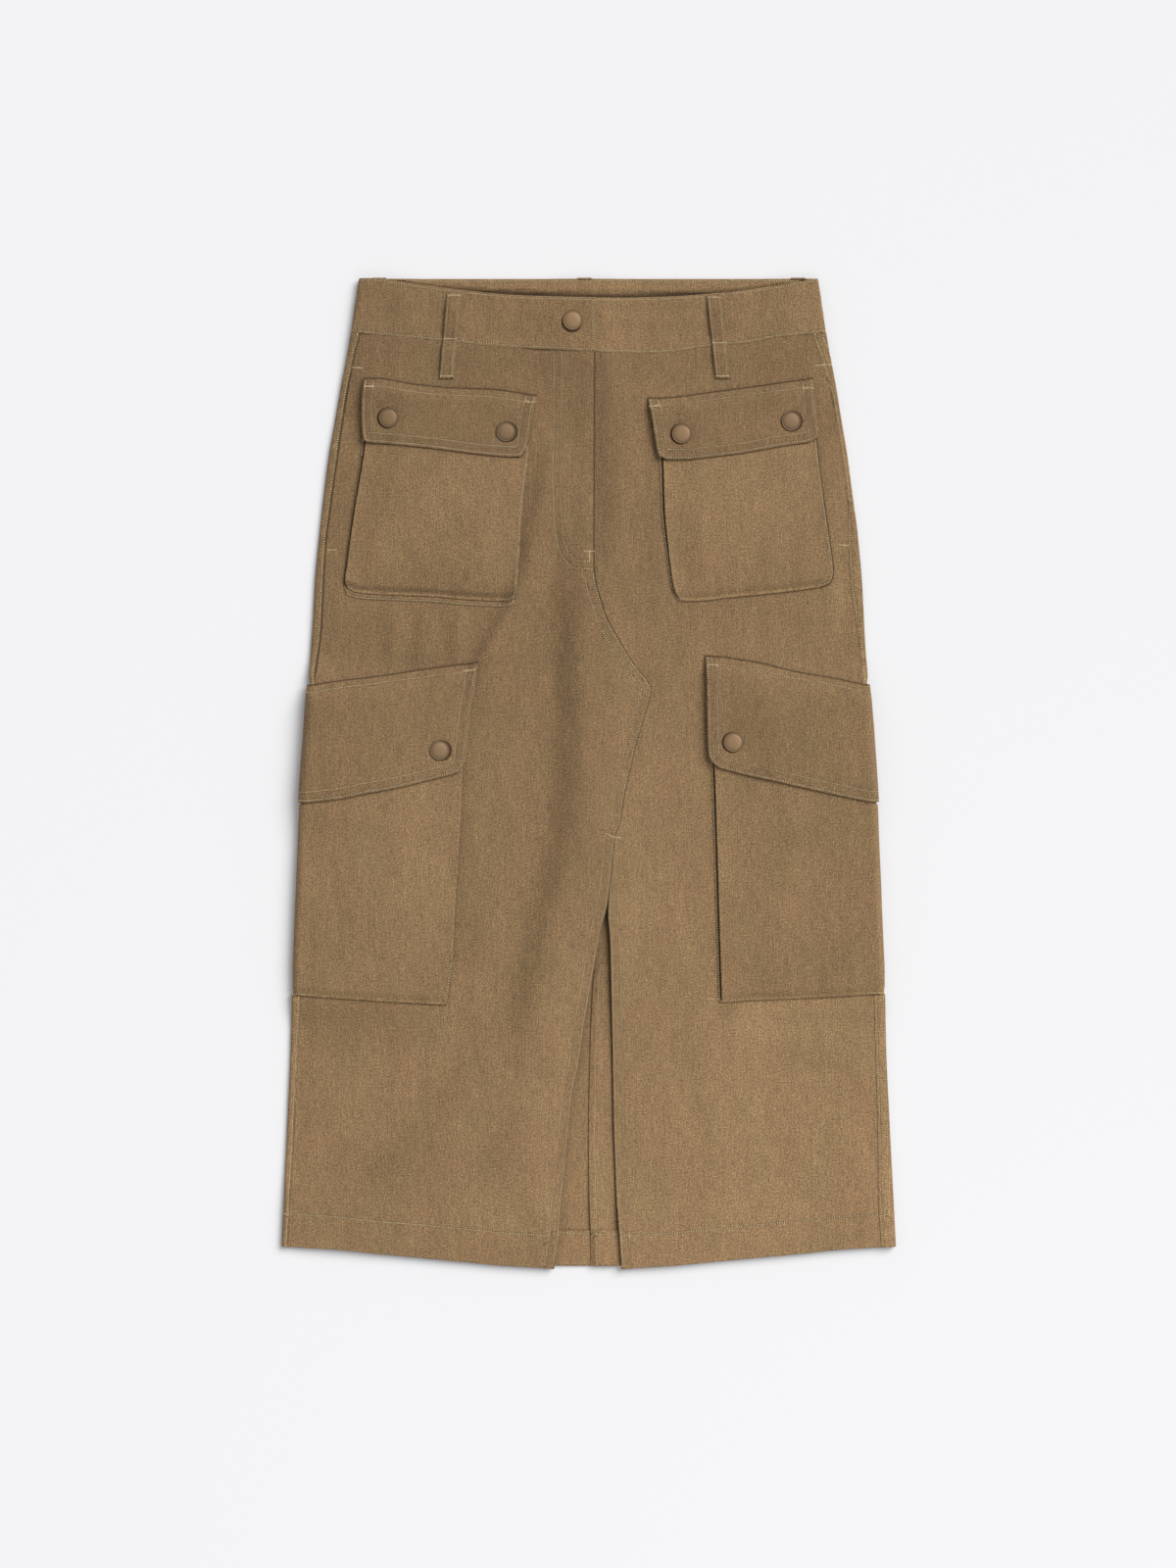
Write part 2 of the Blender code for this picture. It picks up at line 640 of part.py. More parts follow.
def make_back_band():
    inset = 10.0 + SEAM_GAP
    edge = tuple((up, fold_axis(up) - inset) for up in (BAND_SEAM, (BAND_SEAM + BAND_TOP) / 2, BAND_TOP))
    low, high = edge[0][1], edge[-1][1]
    patch = Patch(
        left=tuple((up, -out) for up, out in edge),
        right=edge,
        bottom=((-low, BAND_SEAM), (low, BAND_SEAM)),
        top=((-high, BAND_TOP), (high, BAND_TOP)),
    )
    us = (0, 0.03, 0.06, 0.11, 0.2, 0.32, 0.43, 0.46, 0.49, 0.52, 0.55, 0.66, 0.78, 0.87, 0.92, 0.96, 1)
    patch_sheet("waistband_back", patch, us, (0, 0.5, 1), back_rest, BAND)


# ---------------------------------------------------------------- belt loops

def belt_loop(name, low_x, high_x, low_up, high_up, underside):
    """A strap of BELT_LOOP_WIDTH: underside(share, up) is the height of its lower face."""
    shares = (0, 0.07, 0.2, 0.33, 0.45, 0.6, 0.78, 0.92, 1)

    def place(i, j, inner):
        share = shares[j]
        up = blend(low_up, high_up, share)
        x = blend(low_x, high_x, share) + (i - 0.5) * BELT_LOOP_WIDTH
        return x, up, underside(x, up, share) + (0 if inner else LOOP)

    sheet(name, 1, len(shares) - 1, place)


def make_belt_loops():
    def on_front(x, up, share):
        seam = lookup(BAND_FRONT_SEAM, x)
        panel = body_top(x, min(up, seam - 2))
        band = band_top(x, max(up, seam))
        base = blend(panel, band, ramp(up, seam - 12, seam - 3))
        return base + EASE + BELT_LOOP_BOW * ramp(share, 0.07, 0.4) * ramp(share, 0.97, 0.7)

    for side, (low_x, high_x, high_up) in FRONT_LOOPS.items():
        belt_loop(f"belt_loop_front_{side}", low_x, high_x, BELT_LOOP_BOTTOM, high_up, on_front)
    for side, middle in BACK_LOOPS.items():
        belt_loop(f"belt_loop_back_{side}", middle, middle, BELT_LOOP_BOTTOM, BAND_TOP + LOOP_PEEK,
                  lambda x, up, share: 0.0)


# ---------------------------------------------------------------- pockets

def grown(patch, left, right, low):
    """A patch whose left, right and lower edges lie further out, its rounded corners kept."""
    low_left, low_right = patch.bottom[0][0], patch.bottom[-1][0]
    span = low_right - low_left

    def moved(x):
        return x - left * (low_right - x) / span + right * (x - low_left) / span

    return Patch(
        left=tuple((up - low * (row == 0), x - left) for row, (up, x) in enumerate(patch.left)),
        right=tuple((up - low * (row == 0), x + right) for row, (up, x) in enumerate(patch.right)),
        bottom=tuple((moved(x), up - low) for x, up in patch.bottom),
        top=tuple((x - left * (row == 0) + right * (row > 0), up) for row, (x, up) in enumerate(patch.top)),
    )


def make_hip_pocket(side):
    face = HIP_FACES[side]
    flap = HIP_FLAPS[side]
    us = (0, 0.05, 0.1, 0.25, 0.42, 0.58, 0.75, 0.9, 0.95, 1)
    vs = (0, 0.03, 0.07, 0.2, 0.36, 0.52, 0.68, 0.84, 1)

    def gusset_low(x, up):
        return body_top(x, up) + EASE

    def face_low(x, up):
        return gusset_low(x, up) + CLOTH + EASE + crown(x, up)

    def flap_low(x, up):
        below_top = lookup(flap.top, x) - up
        return body_top(x, up) + EASE + crown(x, up) + POCKET_STACK * ramp(below_top, 0, 11)

    columns = len(us) - 1
    gusset = grown(face, *HIP_REVEALS[side])
    patch_sheet(f"hip_pocket_{side}_gusset", gusset, us, vs, gusset_low, CLOTH,
                keep=lambda i, j: i < 2 or i >= columns - 2 or j < 2)
    patch_sheet(f"hip_pocket_{side}", face, us, vs, face_low, CLOTH)
    flap_us = (0, 0.04, 0.1, 0.25, 0.42, 0.58, 0.75, 0.9, 0.96, 1)
    flap_vs = (0, 0.05, 0.12, 0.4, 0.72, 0.82, 0.91, 1)
    patch_sheet(f"hip_pocket_{side}_flap", flap, flap_us, flap_vs, flap_low, FLAP)
    return lambda x, up: flap_low(x, up) + FLAP


def cargo_plan(side, piece, back_span, back_low, back_high, reveal=0.0):
    """plan() of a cargo piece: its rows run straight from the inner edge round the fold."""

    def plan(run, share, v):
        up = blend(piece.bottom[-1][1], piece.top[-1][1], v)
        for _ in range(4):
            axis = fold_axis(up)
            if run == "front":
                out = blend(lookup(piece.inner, up) - reveal, axis, share)
                up = blend(lookup(piece.bottom, out), lookup(piece.top, out), v)
            else:
                reach = back_span * share
                out = axis - reach
                up = blend(back_low(reach), back_high(reach), v)
        return out, up

    return plan


def make_cargo_pocket(side):
    face = CARGO_FACES[side]
    flap = CARGO_FLAPS[side]

    def pocket_bottom(reach):
        return CARGO_BOTTOM

    def mouth(reach):
        return flap_top_back(reach) - MOUTH_BELOW_FLAP

    def gusset_top(x, up):
        return body_top(x, up) + EASE + CLOTH

    def gusset_bottom(x, up):
        return lift_over_flap(x, up) + CLOTH + EASE

    def face_top(x, up):
        return body_top(x, up) + POCKET_STACK + crown(x, up)

    def flap_top(x, up):
        below_top = lookup(flap.top, abs(x)) - up
        stack = (POCKET_STACK + MOUTH_EASE) * ramp(below_top, 0, 15)
        return body_top(x, up) + EASE + crown(x, up) + stack + FLAP

    def flap_bottom(x, up):
        reach = fold_axis(up) - abs(x)
        return lift_over_pocket(x, up) * ramp(flap_top_back(reach) - up, 16, 0)

    def one_ply(run, up):
        return CLOTH

    front = (0, 0.06, 0.12, 0.25, 0.4, 0.55, 0.7, 0.85)
    back = (0.25, 0.5, 0.75, 1)
    across = stations(front, back)
    rows = (0, 0.03, 0.065, 0.15, 0.28, 0.42, 0.5, 0.55, 0.6, 0.65, 0.75, 0.88, 0.94, 1)
    last_column = len(across) - 2
    plan = cargo_plan(side, face, CARGO_BACK, pocket_bottom, mouth, CARGO_REVEALS[side])
    wrap_sheet(f"cargo_pocket_{side}_gusset", side, across, rows, plan, gusset_top, gusset_bottom, one_ply,
               keep=lambda i, j: i < 2 or i == last_column or j < 2)
    plan = cargo_plan(side, face, CARGO_BACK, pocket_bottom, mouth)
    wrap_sheet(f"cargo_pocket_{side}", side, across, rows, plan, face_top, lift_over_flap, one_ply)

    flap_across = stations((0, 0.04, 0.1, 0.25, 0.4, 0.55, 0.7, 0.85), (0.5, 1))
    flap_rows = (0, 0.04, 0.1, 0.3, 0.55, 0.8, 0.87, 0.93, 1)
    plan = cargo_plan(side, flap, FLAP_BACK, flap_bottom_back, flap_top_back)
    wrap_sheet(f"cargo_pocket_{side}_flap", side, flap_across, flap_rows, plan, flap_top, flap_bottom,
               lambda run, up: FLAP)
    return flap_top


# ---------------------------------------------------------------- snaps

def make_snap(name, x, up, surface):
    """Domed cap with a rolled rim, turned about its axis and laid on the cloth."""
    outline = bmesh.new()
    verts = [outline.verts.new((radius * MM, 0, height * MM)) for radius, height in SNAP_PROFILE]
    for pair in zip(verts, verts[1:]):
        outline.edges.new(pair)
    mesh = bpy.data.meshes.new(name)
    outline.to_mesh(mesh)
    outline.free()
    cap = add_object(name, mesh, "snap_metal")
    turn = cap.modifiers.new("turn", "SCREW")
    turn.axis = "Z"
    turn.steps = 16
    turn.render_steps = 16
    turn.use_merge_vertices = True
    turn.merge_threshold = 0.00001
    step = SNAP_RADIUS
    slope_x = (surface(x + step, up) - surface(x - step, up)) / (2 * step)
    slope_up = (surface(x, up + step) - surface(x, up - step)) / (2 * step)
    normal = Vector((-slope_x, -slope_up, 1)).normalized()
    around = [surface(x + step * math.cos(a), up + step * math.sin(a)) for a in (0, 1.57, 3.14, 4.71)]
    seat = max(surface(x, up), sum(around) / len(around))
    cap.location = Vector((x, up - MIDDLE_UP, seat + SNAP_SEAT)) * MM
    cap.rotation_mode = "QUATERNION"
    cap.rotation_quaternion = Vector((0, 0, 1)).rotation_difference(normal)


def make_snaps(flap_tops):
    def on_band(x, up):
        return band_top(x, up) + band_lap(x)

    for name, (x, up) in SNAPS.items():
        piece = name.removeprefix("snap_").removesuffix("_outer").removesuffix("_inner")
        make_snap(name, x, up, on_band if piece == "waistband" else flap_tops[piece])


# ---------------------------------------------------------------- assembly

for old in list(bpy.data.objects):
    bpy.data.objects.remove(old)
skirt = bpy.data.collections.new("cargo_utility_skirt")
bpy.context.scene.collection.children.link(skirt)

make_fronts()
make_back_band()
make_belt_loops()
upper_faces = {}
for pocket_side in SIDES:
    make_back(pocket_side)
    make_front_band(pocket_side)
    upper_faces["hip_" + pocket_side] = make_hip_pocket(pocket_side)
    upper_faces["cargo_" + pocket_side] = make_cargo_pocket(pocket_side)
make_snaps(upper_faces)
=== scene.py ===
import math

import bmesh
import bpy
import numpy as np
from mathutils import Matrix, Vector
from mathutils.bvhtree import BVHTree
from mathutils.kdtree import KDTree


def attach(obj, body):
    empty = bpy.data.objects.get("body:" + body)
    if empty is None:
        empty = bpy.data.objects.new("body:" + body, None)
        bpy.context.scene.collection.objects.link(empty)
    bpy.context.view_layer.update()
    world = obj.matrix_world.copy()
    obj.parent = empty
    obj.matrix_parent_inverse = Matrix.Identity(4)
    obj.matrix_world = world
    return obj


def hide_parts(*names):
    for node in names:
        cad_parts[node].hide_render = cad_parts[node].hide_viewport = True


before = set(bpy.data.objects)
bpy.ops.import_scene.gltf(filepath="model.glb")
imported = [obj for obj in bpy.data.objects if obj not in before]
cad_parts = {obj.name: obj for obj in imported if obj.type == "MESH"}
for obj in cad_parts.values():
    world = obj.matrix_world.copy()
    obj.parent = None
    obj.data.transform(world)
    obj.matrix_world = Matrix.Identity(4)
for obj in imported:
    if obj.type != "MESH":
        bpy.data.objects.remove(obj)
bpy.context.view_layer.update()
print("frame loaded")

# Lengths are in millimetres up to the moment a mesh is made. "up" is the height along the
# skirt above the lowest point of the front hem, "out" the distance from the centre line, and
# left and right are as seen from above with the waistband away from the viewer.

mm = 0.001
sides = {"left": -1, "right": 1}


def ramp(value, start, end):
    share = np.clip((value - start) / (end - start), 0, 1)
    return 0.5 - 0.5 * np.cos(np.pi * share)


def curve(rows, key):
    # smooth curve through rows of (key, value) that doesn't overshoot between them
    keys, values = np.array(rows, float).T
    step = np.diff(keys)
    slope = np.diff(values) / step
    product = slope[:-1] * slope[1:]
    total = np.where(product > 0, slope[:-1] + slope[1:], 1)
    middle = np.where(product > 0, 2 * product / total, 0)
    tangent = np.concatenate((slope[:1], middle, slope[-1:]))
    key = np.clip(key, keys[0], keys[-1])
    cell = np.clip(np.searchsorted(keys, key, side="right") - 1, 0, len(step) - 1)
    size = step[cell]
    t = (key - keys[cell]) / size
    start = values[cell] * (1 + 2 * t) * (1 - t) ** 2 + tangent[cell] * size * t * (1 - t) ** 2
    end = values[cell + 1] * t * t * (3 - 2 * t) + tangent[cell + 1] * size * t * t * (t - 1)
    return start + end


def mix(start, end, share):
    return start + (end - start) * share


def waves(seed, lengths):
    # soft irregular height field made of plane waves
    draw = np.random.default_rng(seed)
    count = len(lengths)
    turn = draw.uniform(0, math.tau, count)
    phase = draw.uniform(0, math.tau, count)
    weight = np.array(lengths) / sum(lengths)

    def height(x, up):
        total = 0.0
        for size, angle, shift, share in zip(lengths, turn, phase, weight):
            along = x * math.cos(angle) + up * math.sin(angle)
            total = total + share * np.sin(math.tau * along / size + shift)
        return total

    return height


# the body: how large it is, where its layers lie and how high

body = {
    "length": 747.0, "bandSeam": 706.0, "hemSide": 17.0, "hemBack": 2.3, "hemBackRun": (90, 35),
    "hemTurn": 26.5, "hemRise": 40.0, "hemShare": (44, 160), "waistShare": 560.0, "loopPeek": 0.8,
    "cloth": 1.1, "flap": 1.6, "band": 2.0, "loop": 1.4, "ease": 0.5, "inside": 0.9, "seamGap": 0.3,
    "waistRise": 1.2, "waistRun": 28.0, "lapRun": 22.0, "slitTop": 287.0, "lapStart": 40.0,
    "seamInside": 2.2, "backLap": 10.0, "backLapRun": 22.0, "edgeRun": 1.5, "closeness": 0.2, "loft": 0.35,
    "tuck": 0.7, "tuckRun": (16, 2), "flyTuck": 0.6, "flyTuckRun": (12, 1),
    "flyTuckUp": ((530, 575), (690, 650)), "lapThin": 0.6, "lapThinRun": 8.0, "lapThinUp": (520, 560),
    "stripEdge": 0.22, "stripRun": 5.0, "stripGap": 0.03, "soft": 0.5, "softUp": (700, 600),
    "softWaves": (150, 120, 95, 80, 66, 54, 45, 38),
    # up, half width out to the side folds, side seams inside them on the left and the right
    "sections": (
        (17, 232.3, 5.0, 11.5), (42, 231.0, 5.5, 12.0), (105, 228.0, 6.0, 9.8), (160, 225.4, 6.0, 8.7),
        (208, 224.0, 6.8, 8.9), (280, 221.0, 6.5, 8.0), (352, 218.0, 6.0, 6.5), (441, 211.7, 4.8, 4.6),
        (484, 208.6, 7.0, 6.0), (516, 206.9, 6.9, 9.0), (549, 204.0, 6.0, 8.0), (578, 200.7, 6.4, 5.2),
        (613, 196.2, 6.8, 4.9), (633, 192.8, 6.2, 4.9), (664, 187.5, 6.0, 5.6), (691, 182.3, 6.2, 8.2),
        (706, 179.8, 7.2, 11.0), (747, 173.6, 7.2, 11.0),
    ),
    # distance out, up
    "hem": ((26, 0.0), (42, 1.2), (65, 2.6), (90, 5.0), (125, 8.3), (165, 12.0), (190, 14.6), (232, 17.0)),
    # up, x
    "leftFrontEdge": (
        (0, -26), (26, -22), (51, -20), (79, -17), (102, -15), (136, -11), (152, -7.5), (177, -4),
        (213, 2), (230, 5), (258, 10), (274, 14), (300, 17.5), (327, 20.3), (335, 23.5), (354, 26.7),
        (383, 33), (399, 37), (418, 42.7), (431, 46.6), (438, 47.4), (445, 43.5), (455, 35.4), (475, 22.6),
        (494, 12.7), (506, 9), (516, 6), (526, 4.7), (541, 4.2), (626, 4.4), (700, 4.8),
    ),
    "rightFrontEdge": (
        (0, 25), (28, 23), (56, 21), (79, 20), (108, 19), (165, 18), (213, 17), (250, 16), (267, 14.6),
        (287, 15.4), (300, 13), (327, 11), (354, 16), (383, 22), (418, 31), (438, 35), (455, 23),
        (475, 10), (494, 1), (516, -10), (535, -22), (700, -22),
    ),
    "backSeam": ((0, 2), (31, 1.6), (99, 0), (160, 1), (195, 2.3), (219, 3.6), (230, 5), (747, 5)),
}
middleUp = (body["length"] + body["loopPeek"]) / 2
cloth, ease, inside = body["cloth"], body["ease"], body["inside"]
turnEnd = body["hemSide"] + body["hemTurn"]

cargo = {
    "bottom": 208.0, "back": 52.0, "flapBack": 57.0, "flapBottom": 351.0, "flapTop": 440.0, "slope": 0.14,
    "flapStep": 1.0, "mouthBelow": 16.0, "mouthEase": 0.13, "mouthRun": 40.0, "sideRun": 0.9,
    "sideEnd": (8, 1), "liftRun": 50.0, "liftEnd": 28.0, "sideFade": 15.0, "liftEase": 1.0,
}
pocketStack = 2 * (cloth + ease)
flapStack = body["flap"] + ease

band = {
    "lapEdge": 5.0, "underlap": -32.0, "lapRun": 26.0, "onSeam": 0.4, "backRun": 10.0,
    "gape": 3.2, "gapeRun": (150, 40), "gapeUp": (10, 12), "tuck": 0.9, "tuckRun": (9, 1),
    "ripple": 0.5, "rippleWaves": (13, 17, 22, 28, 36),
    # x, up
    "seam": (
        (-180, 706), (-148, 703), (-104, 699), (-60, 695), (-15, 692.5), (14, 691), (51, 690.5),
        (88, 695), (118, 698), (148, 703), (180, 706),
    ),
    "top": (
        (-160, 747), (-126, 742.1), (-97, 738.3), (-60, 734.4), (-15, 732.4), (14, 731.9), (59, 732.9),
        (103, 736.3), (133, 740.2), (159, 744.3), (172, 747),
    ),
}

loops = {
    "width": 11.0, "bottom": 671.5, "run": 30.0, "beside": 2.0, "below": 3.0,
    "back": {"left": -158.0, "centre": -3.0, "right": 158.0},
    "front": {"left": (-107.2, -101.2, 735.5), "right": (101.2, 94.4, 734.0)},  # lower x, upper x, upper end
}

# soft folds of the fronts: crest as (up, x), run out to the left and the right, height, fade at the ends
folds = (
    (((110, -52), (190, -37), (264, -24), (314, -9), (412, -3), (520, -4), (636, -7)), 28, 72, 8.6, 130),
    (((0, -200), (75, -140), (126, -97), (190, -44), (230, -30)), 36, 60, 4.6, 70),
    (((430, -88), (462, -77), (501, -58), (530, -46), (561, -38), (600, -31), (632, -22)), 13, 26, 3.8, 40),
    (((470, 50), (515, 33), (560, 26), (620, 27), (690, 30)), 18, 34, 2.6, 40),
    (((480, 50), (520, 52), (560, 52)), 7, 18, 1.2, 30),
    (((30, 88), (60, 93), (110, 98), (190, 108)), 34, 40, 1.6, 50),
    (((450, -151), (480, -147), (506, -145)), 7, 13, 1.8, 20),
    (((450, -128), (480, -125), (506, -124)), 7, 13, 1.9, 20),
    (((452, -103), (480, -100), (506, -98)), 7, 16, 1.8, 20),
    (((448, -91), (480, -70), (507, -55), (522, -49)), 6, 20, 2.2, 14),
    (((330, 27), (380, 38), (430, 50)), 10, 30, 0.9, 34),
    (((210, -84), (330, -84), (420, -84)), 26, 42, 1.7, 50),
)


def column(index):
    return tuple((row[0], row[index]) for row in body["sections"])


halfWidths = column(1)
seamWidths = {"left": column(2), "right": column(3)}


def hemUp(x):
    return curve(body["hem"], np.abs(x))


def backHemUp(x):
    return hemUp(x) + body["hemBack"] * ramp(np.abs(x), *body["hemBackRun"])


def bodyUp(x, nominal, hem=hemUp, waist=None):
    # the height of a point whose nominal height is that at the sides
    shift = (hem(x) - body["hemSide"]) * (1 - ramp(nominal, *body["hemShare"]))
    if waist:
        dip = curve(waist, x) - body["bandSeam"]
        shift = shift + dip * ramp(nominal, body["waistShare"], body["bandSeam"])
    return nominal + shift


def hemRise(up):
    return ramp(up, turnEnd + body["hemRise"], turnEnd)


def waistRise(x, up):
    seam = curve(band["seam"], x)
    return body["waistRise"] * ramp(up, seam - body["waistRun"], seam - 2)


def bodyRadius(up):
    return (3 * cloth + inside + ease + 2 * cloth * hemRise(up) + waistRise(180, up)) / 2


def sideInset(up):
    # how far the body's fold keeps inside the pocket that passes round it
    pocket = ramp(up, cargo["bottom"] - cargo["sideRun"], cargo["bottom"])
    pocket = pocket * ramp(cargo["flapTop"] - up, 0, cargo["sideFade"])
    far, near = cargo["sideEnd"]
    low = ramp(up, cargo["flapBottom"] - cargo["sideRun"], cargo["flapBottom"])
    flap = low * ramp(up, cargo["flapTop"] + far, cargo["flapTop"] + near)
    return pocketStack * pocket + (flapStack - cargo["flapStep"]) * flap


def foldAxis(up):
    return curve(halfWidths, up) - bodyRadius(up) - sideInset(up)


def sideSeam(side, up):
    return np.minimum(curve(halfWidths, up) - curve(seamWidths[side], up), foldAxis(up) - body["seamInside"])


def seamBeside(x, up):
    return np.where(x < 0, sideSeam("left", up), sideSeam("right", up))


def flapTopBack(reach):
    return cargo["flapTop"] - cargo["slope"] * np.clip(reach, 0, cargo["flapBack"])


def flapBottomBack(reach):
    return cargo["flapBottom"] - cargo["slope"] * np.clip(reach, 0, cargo["flapBack"])


def liftOverFlap(x, up):
    # how high the pocket flap under the skirt lifts its back
    reach, clear = foldAxis(up) - np.abs(x), cargo["liftEase"]
    along = ramp(reach, cargo["flapBack"] + clear + cargo["liftRun"], cargo["flapBack"] + clear)
    low, high = flapBottomBack(reach), flapTopBack(reach)
    ends = ramp(up, low - cargo["liftEnd"], low - clear) * ramp(up, high + cargo["liftEnd"], high + clear)
    return flapStack * along * ends


def liftOverPocket(x, up):
    reach, clear = foldAxis(up) - np.abs(x), cargo["liftEase"]
    along = ramp(reach, cargo["back"] + clear + cargo["liftRun"], cargo["back"] + clear)
    mouth = flapTopBack(reach) - cargo["mouthBelow"]
    ends = ramp(up, cargo["bottom"] - cargo["liftEnd"], cargo["bottom"] - 2 * clear)
    ends = ends * ramp(up, mouth + cargo["mouthRun"], mouth)
    return pocketStack * along * ends


def liftOverLoops(x, up):
    lift = 0.0
    for middle in loops["back"].values():
        beside = np.abs(x - middle) - loops["width"] / 2
        rise = (body["loop"] + ease) * ramp(beside, loops["beside"] + loops["run"], loops["beside"])
        lift = np.maximum(lift, rise)
    low = loops["bottom"] - loops["below"]
    return lift * ramp(up, low - loops["run"], low)


def backRest(x, up):
    return liftOverFlap(x, up) + liftOverPocket(x, up) + liftOverLoops(x, up)


def backLap(x, up):
    half = body["backLap"] / 2
    middle = curve(body["backSeam"], up) + half
    share = ramp(np.abs(x - middle), half + body["backLapRun"], half + body["edgeRun"])
    return (cloth + ease + cloth * hemRise(up)) * share


def foldHeight(x, up):
    height = 0.0
    for crest, leftRun, rightRun, top, fade in folds:
        middle = curve(crest, up)
        run = np.where(x < middle, leftRun, rightRun)
        low, high = crest[0][0], crest[-1][0]
        ends = ramp(up, low, low + fade) * ramp(up, high, high - fade)
        height = height + top * ends * ramp(np.abs(x - middle), run, 0)
    return height


softWaves = waves(11, body["softWaves"])


def softness(x, up):
    # the cloth is never quite flat, less so where it is held at the waistband
    return body["soft"] * softWaves(x, up) * ramp(up, *body["softUp"])


def sideTuck(x, up):
    # the front dips under the back panel that laps over it at the side
    far, near = body["tuckRun"]
    seam = seamBeside(x, up)
    return body["tuck"] * ramp(np.abs(x), seam - far, seam - near)


def frontLap(x, up):
    # the left front rises over the right front from the slit's top up
    edge = curve(body["rightFrontEdge"], up)
    along = ramp(up, body["slitTop"] - body["lapStart"], body["slitTop"] - 4)
    along = (lapWall(x, up) + body["closeness"] - body["tuck"]) * along
    return along * ramp(x, edge - body["lapRun"], edge - body["edgeRun"])


def lapWall(x, up):
    edge = curve(body["leftFrontEdge"], up)
    return mix(body["lapThin"], cloth, ramp(edge - x, 0, body["lapThinRun"]) * ramp(up, *body["lapThinUp"]))


def frontTuck(x, up):
    # the right front dips under the left front
    edge = curve(body["leftFrontEdge"], up)
    low, high = body["flyTuckUp"]
    far, near = body["flyTuckRun"]
    depth = body["tuck"] + body["flyTuck"] * ramp(up, *low) * ramp(up, *high)
    return -depth * ramp(x, edge + far, edge + near) * ramp(up, body["slitTop"] - 22, body["slitTop"] + 8)


def frontTop(x, up):
    plies = 2 * cloth + inside + 2 * cloth * hemRise(up - hemUp(x) + body["hemSide"])
    rest = backRest(x, up) + backLap(x, up) + plies + waistRise(x, up) - sideTuck(x, up)
    return rest + foldHeight(x, up) + softness(x, up) + body["loft"]


def stripWall(x, up):
    # the back panel thins towards its edge at the side seam
    seam = seamBeside(x, up)
    return mix(body["stripEdge"], cloth, ramp(np.abs(x), seam, seam + body["stripRun"]))


def bodyTop(x, up):
    seam = seamBeside(x, up)
    strip = stripWall(x, up) + body["stripGap"]
    return frontTop(x, up) + strip * ramp(np.abs(x), seam - 10, seam - 1.0)


bandWaves = waves(47, band["rippleWaves"])


def bandTop(x, up):
    # the front band gapes a little towards its dipped middle
    below, above = band["gapeUp"]
    gape = band["gape"] * ramp(np.abs(x), *band["gapeRun"])
    gape = gape * ramp(up, body["bandSeam"] - below, body["length"] - above)
    rest = backRest(x, up) + band["onSeam"] * backLap(x, up) + 2 * body["band"] + inside
    return rest + gape + band["ripple"] * bandWaves(x, up)


def bandLap(x):
    step = body["band"] + body["closeness"] - band["tuck"]
    return step * ramp(x, band["underlap"] - band["lapRun"], band["underlap"] - body["edgeRun"])


def bandTuck(x):
    far, near = band["tuckRun"]
    return band["tuck"] * ramp(x, band["lapEdge"] + far, band["lapEdge"] + near)


nearEdge = (0, 0.45, 1.1, 1.9, 2.8, 3.8, 5.0, 6.4, 7.8, 9.2, 10.8, 13.0)


def spread(length, step, start=True, end=True):
    # shares of a length, close together at the ends that are edges
    near = [d for d in nearEdge if d < length / 2]
    first = near if start else [0]
    last = [length - d for d in reversed(near)] if end else [length]
    count = max(1, round((last[0] - first[-1]) / step))
    between = np.linspace(first[-1], last[0], count + 1)[1:-1]
    return np.array([*first, *between, *last]) / length


def facing(points):
    # unit normals of a grid of (x, up, z), pointing up where the grid's front run is
    across = np.gradient(points, axis=1)
    along = np.gradient(points, axis=0)
    normal = np.cross(across, along)
    return normal / np.maximum(np.linalg.norm(normal, axis=2, keepdims=True), 1e-9)


def edgeDistance(points):
    # how far each point of a grid lies from its left, right, bottom and top edge
    across, along = np.zeros(points.shape[:2]), np.zeros(points.shape[:2])
    across[:, 1:] = np.cumsum(np.linalg.norm(np.diff(points, axis=1), axis=2), axis=1)
    along[1:] = np.cumsum(np.linalg.norm(np.diff(points, axis=0), axis=2), axis=0)
    return across, across[:, -1:] - across, along, along[-1:] - along


def runAlong(path):
    # how far each point of a path lies from its start, along the path
    return np.concatenate(((0,), np.cumsum(np.linalg.norm(np.diff(path, axis=0), axis=1))))


def atRuns(path, run, at):
    return np.stack([np.interp(at, run, path[:, k]) for k in range(3)], -1)


def mark(mesh, label, values):
    # an attribute that the finishes read
    mesh.attributes.new(label, "FLOAT", "POINT").data.foreach_set("value", np.asarray(values, np.float32))


def inScene(name, data):
    obj = bpy.data.objects.new(name, data)
    bpy.context.scene.collection.objects.link(obj)
    return obj


def meshFrom(bm, name):
    mesh = bpy.data.meshes.new(name)
    bm.to_mesh(mesh)
    bm.free()
    return mesh


pieces = {}
surfaces = {}
# how light each piece is, partly its own tone and partly painted light and shade, and how light each cap is
# painted, standing in for the reflections on it
tones = {
    "front_panel_left": 0.95, "front_panel_right": 1.015, "back_panel_left": 1.04, "back_panel_right": 1.06,
    "waistband_front_left": 1.125, "waistband_front_right": 1.175, "waistband_back": 1.29,
    "hip_pocket_left": 1.06, "hip_pocket_right": 1.145, "cargo_pocket_left": 1.01, "cargo_pocket_right": 1.03,
    "hip_pocket_left_flap": 0.94, "cargo_pocket_left_flap": 0.945, "cargo_pocket_right_flap": 0.945,
    "snap_waistband": 1.45, "snap_cargo_left": 1.0, "snap_cargo_right": 1.35,
    "snap_hip_left_outer": 1.1, "snap_hip_left_inner": 0.84,
    "snap_hip_right_inner": 1.32, "snap_hip_right_outer": 0.92,
}
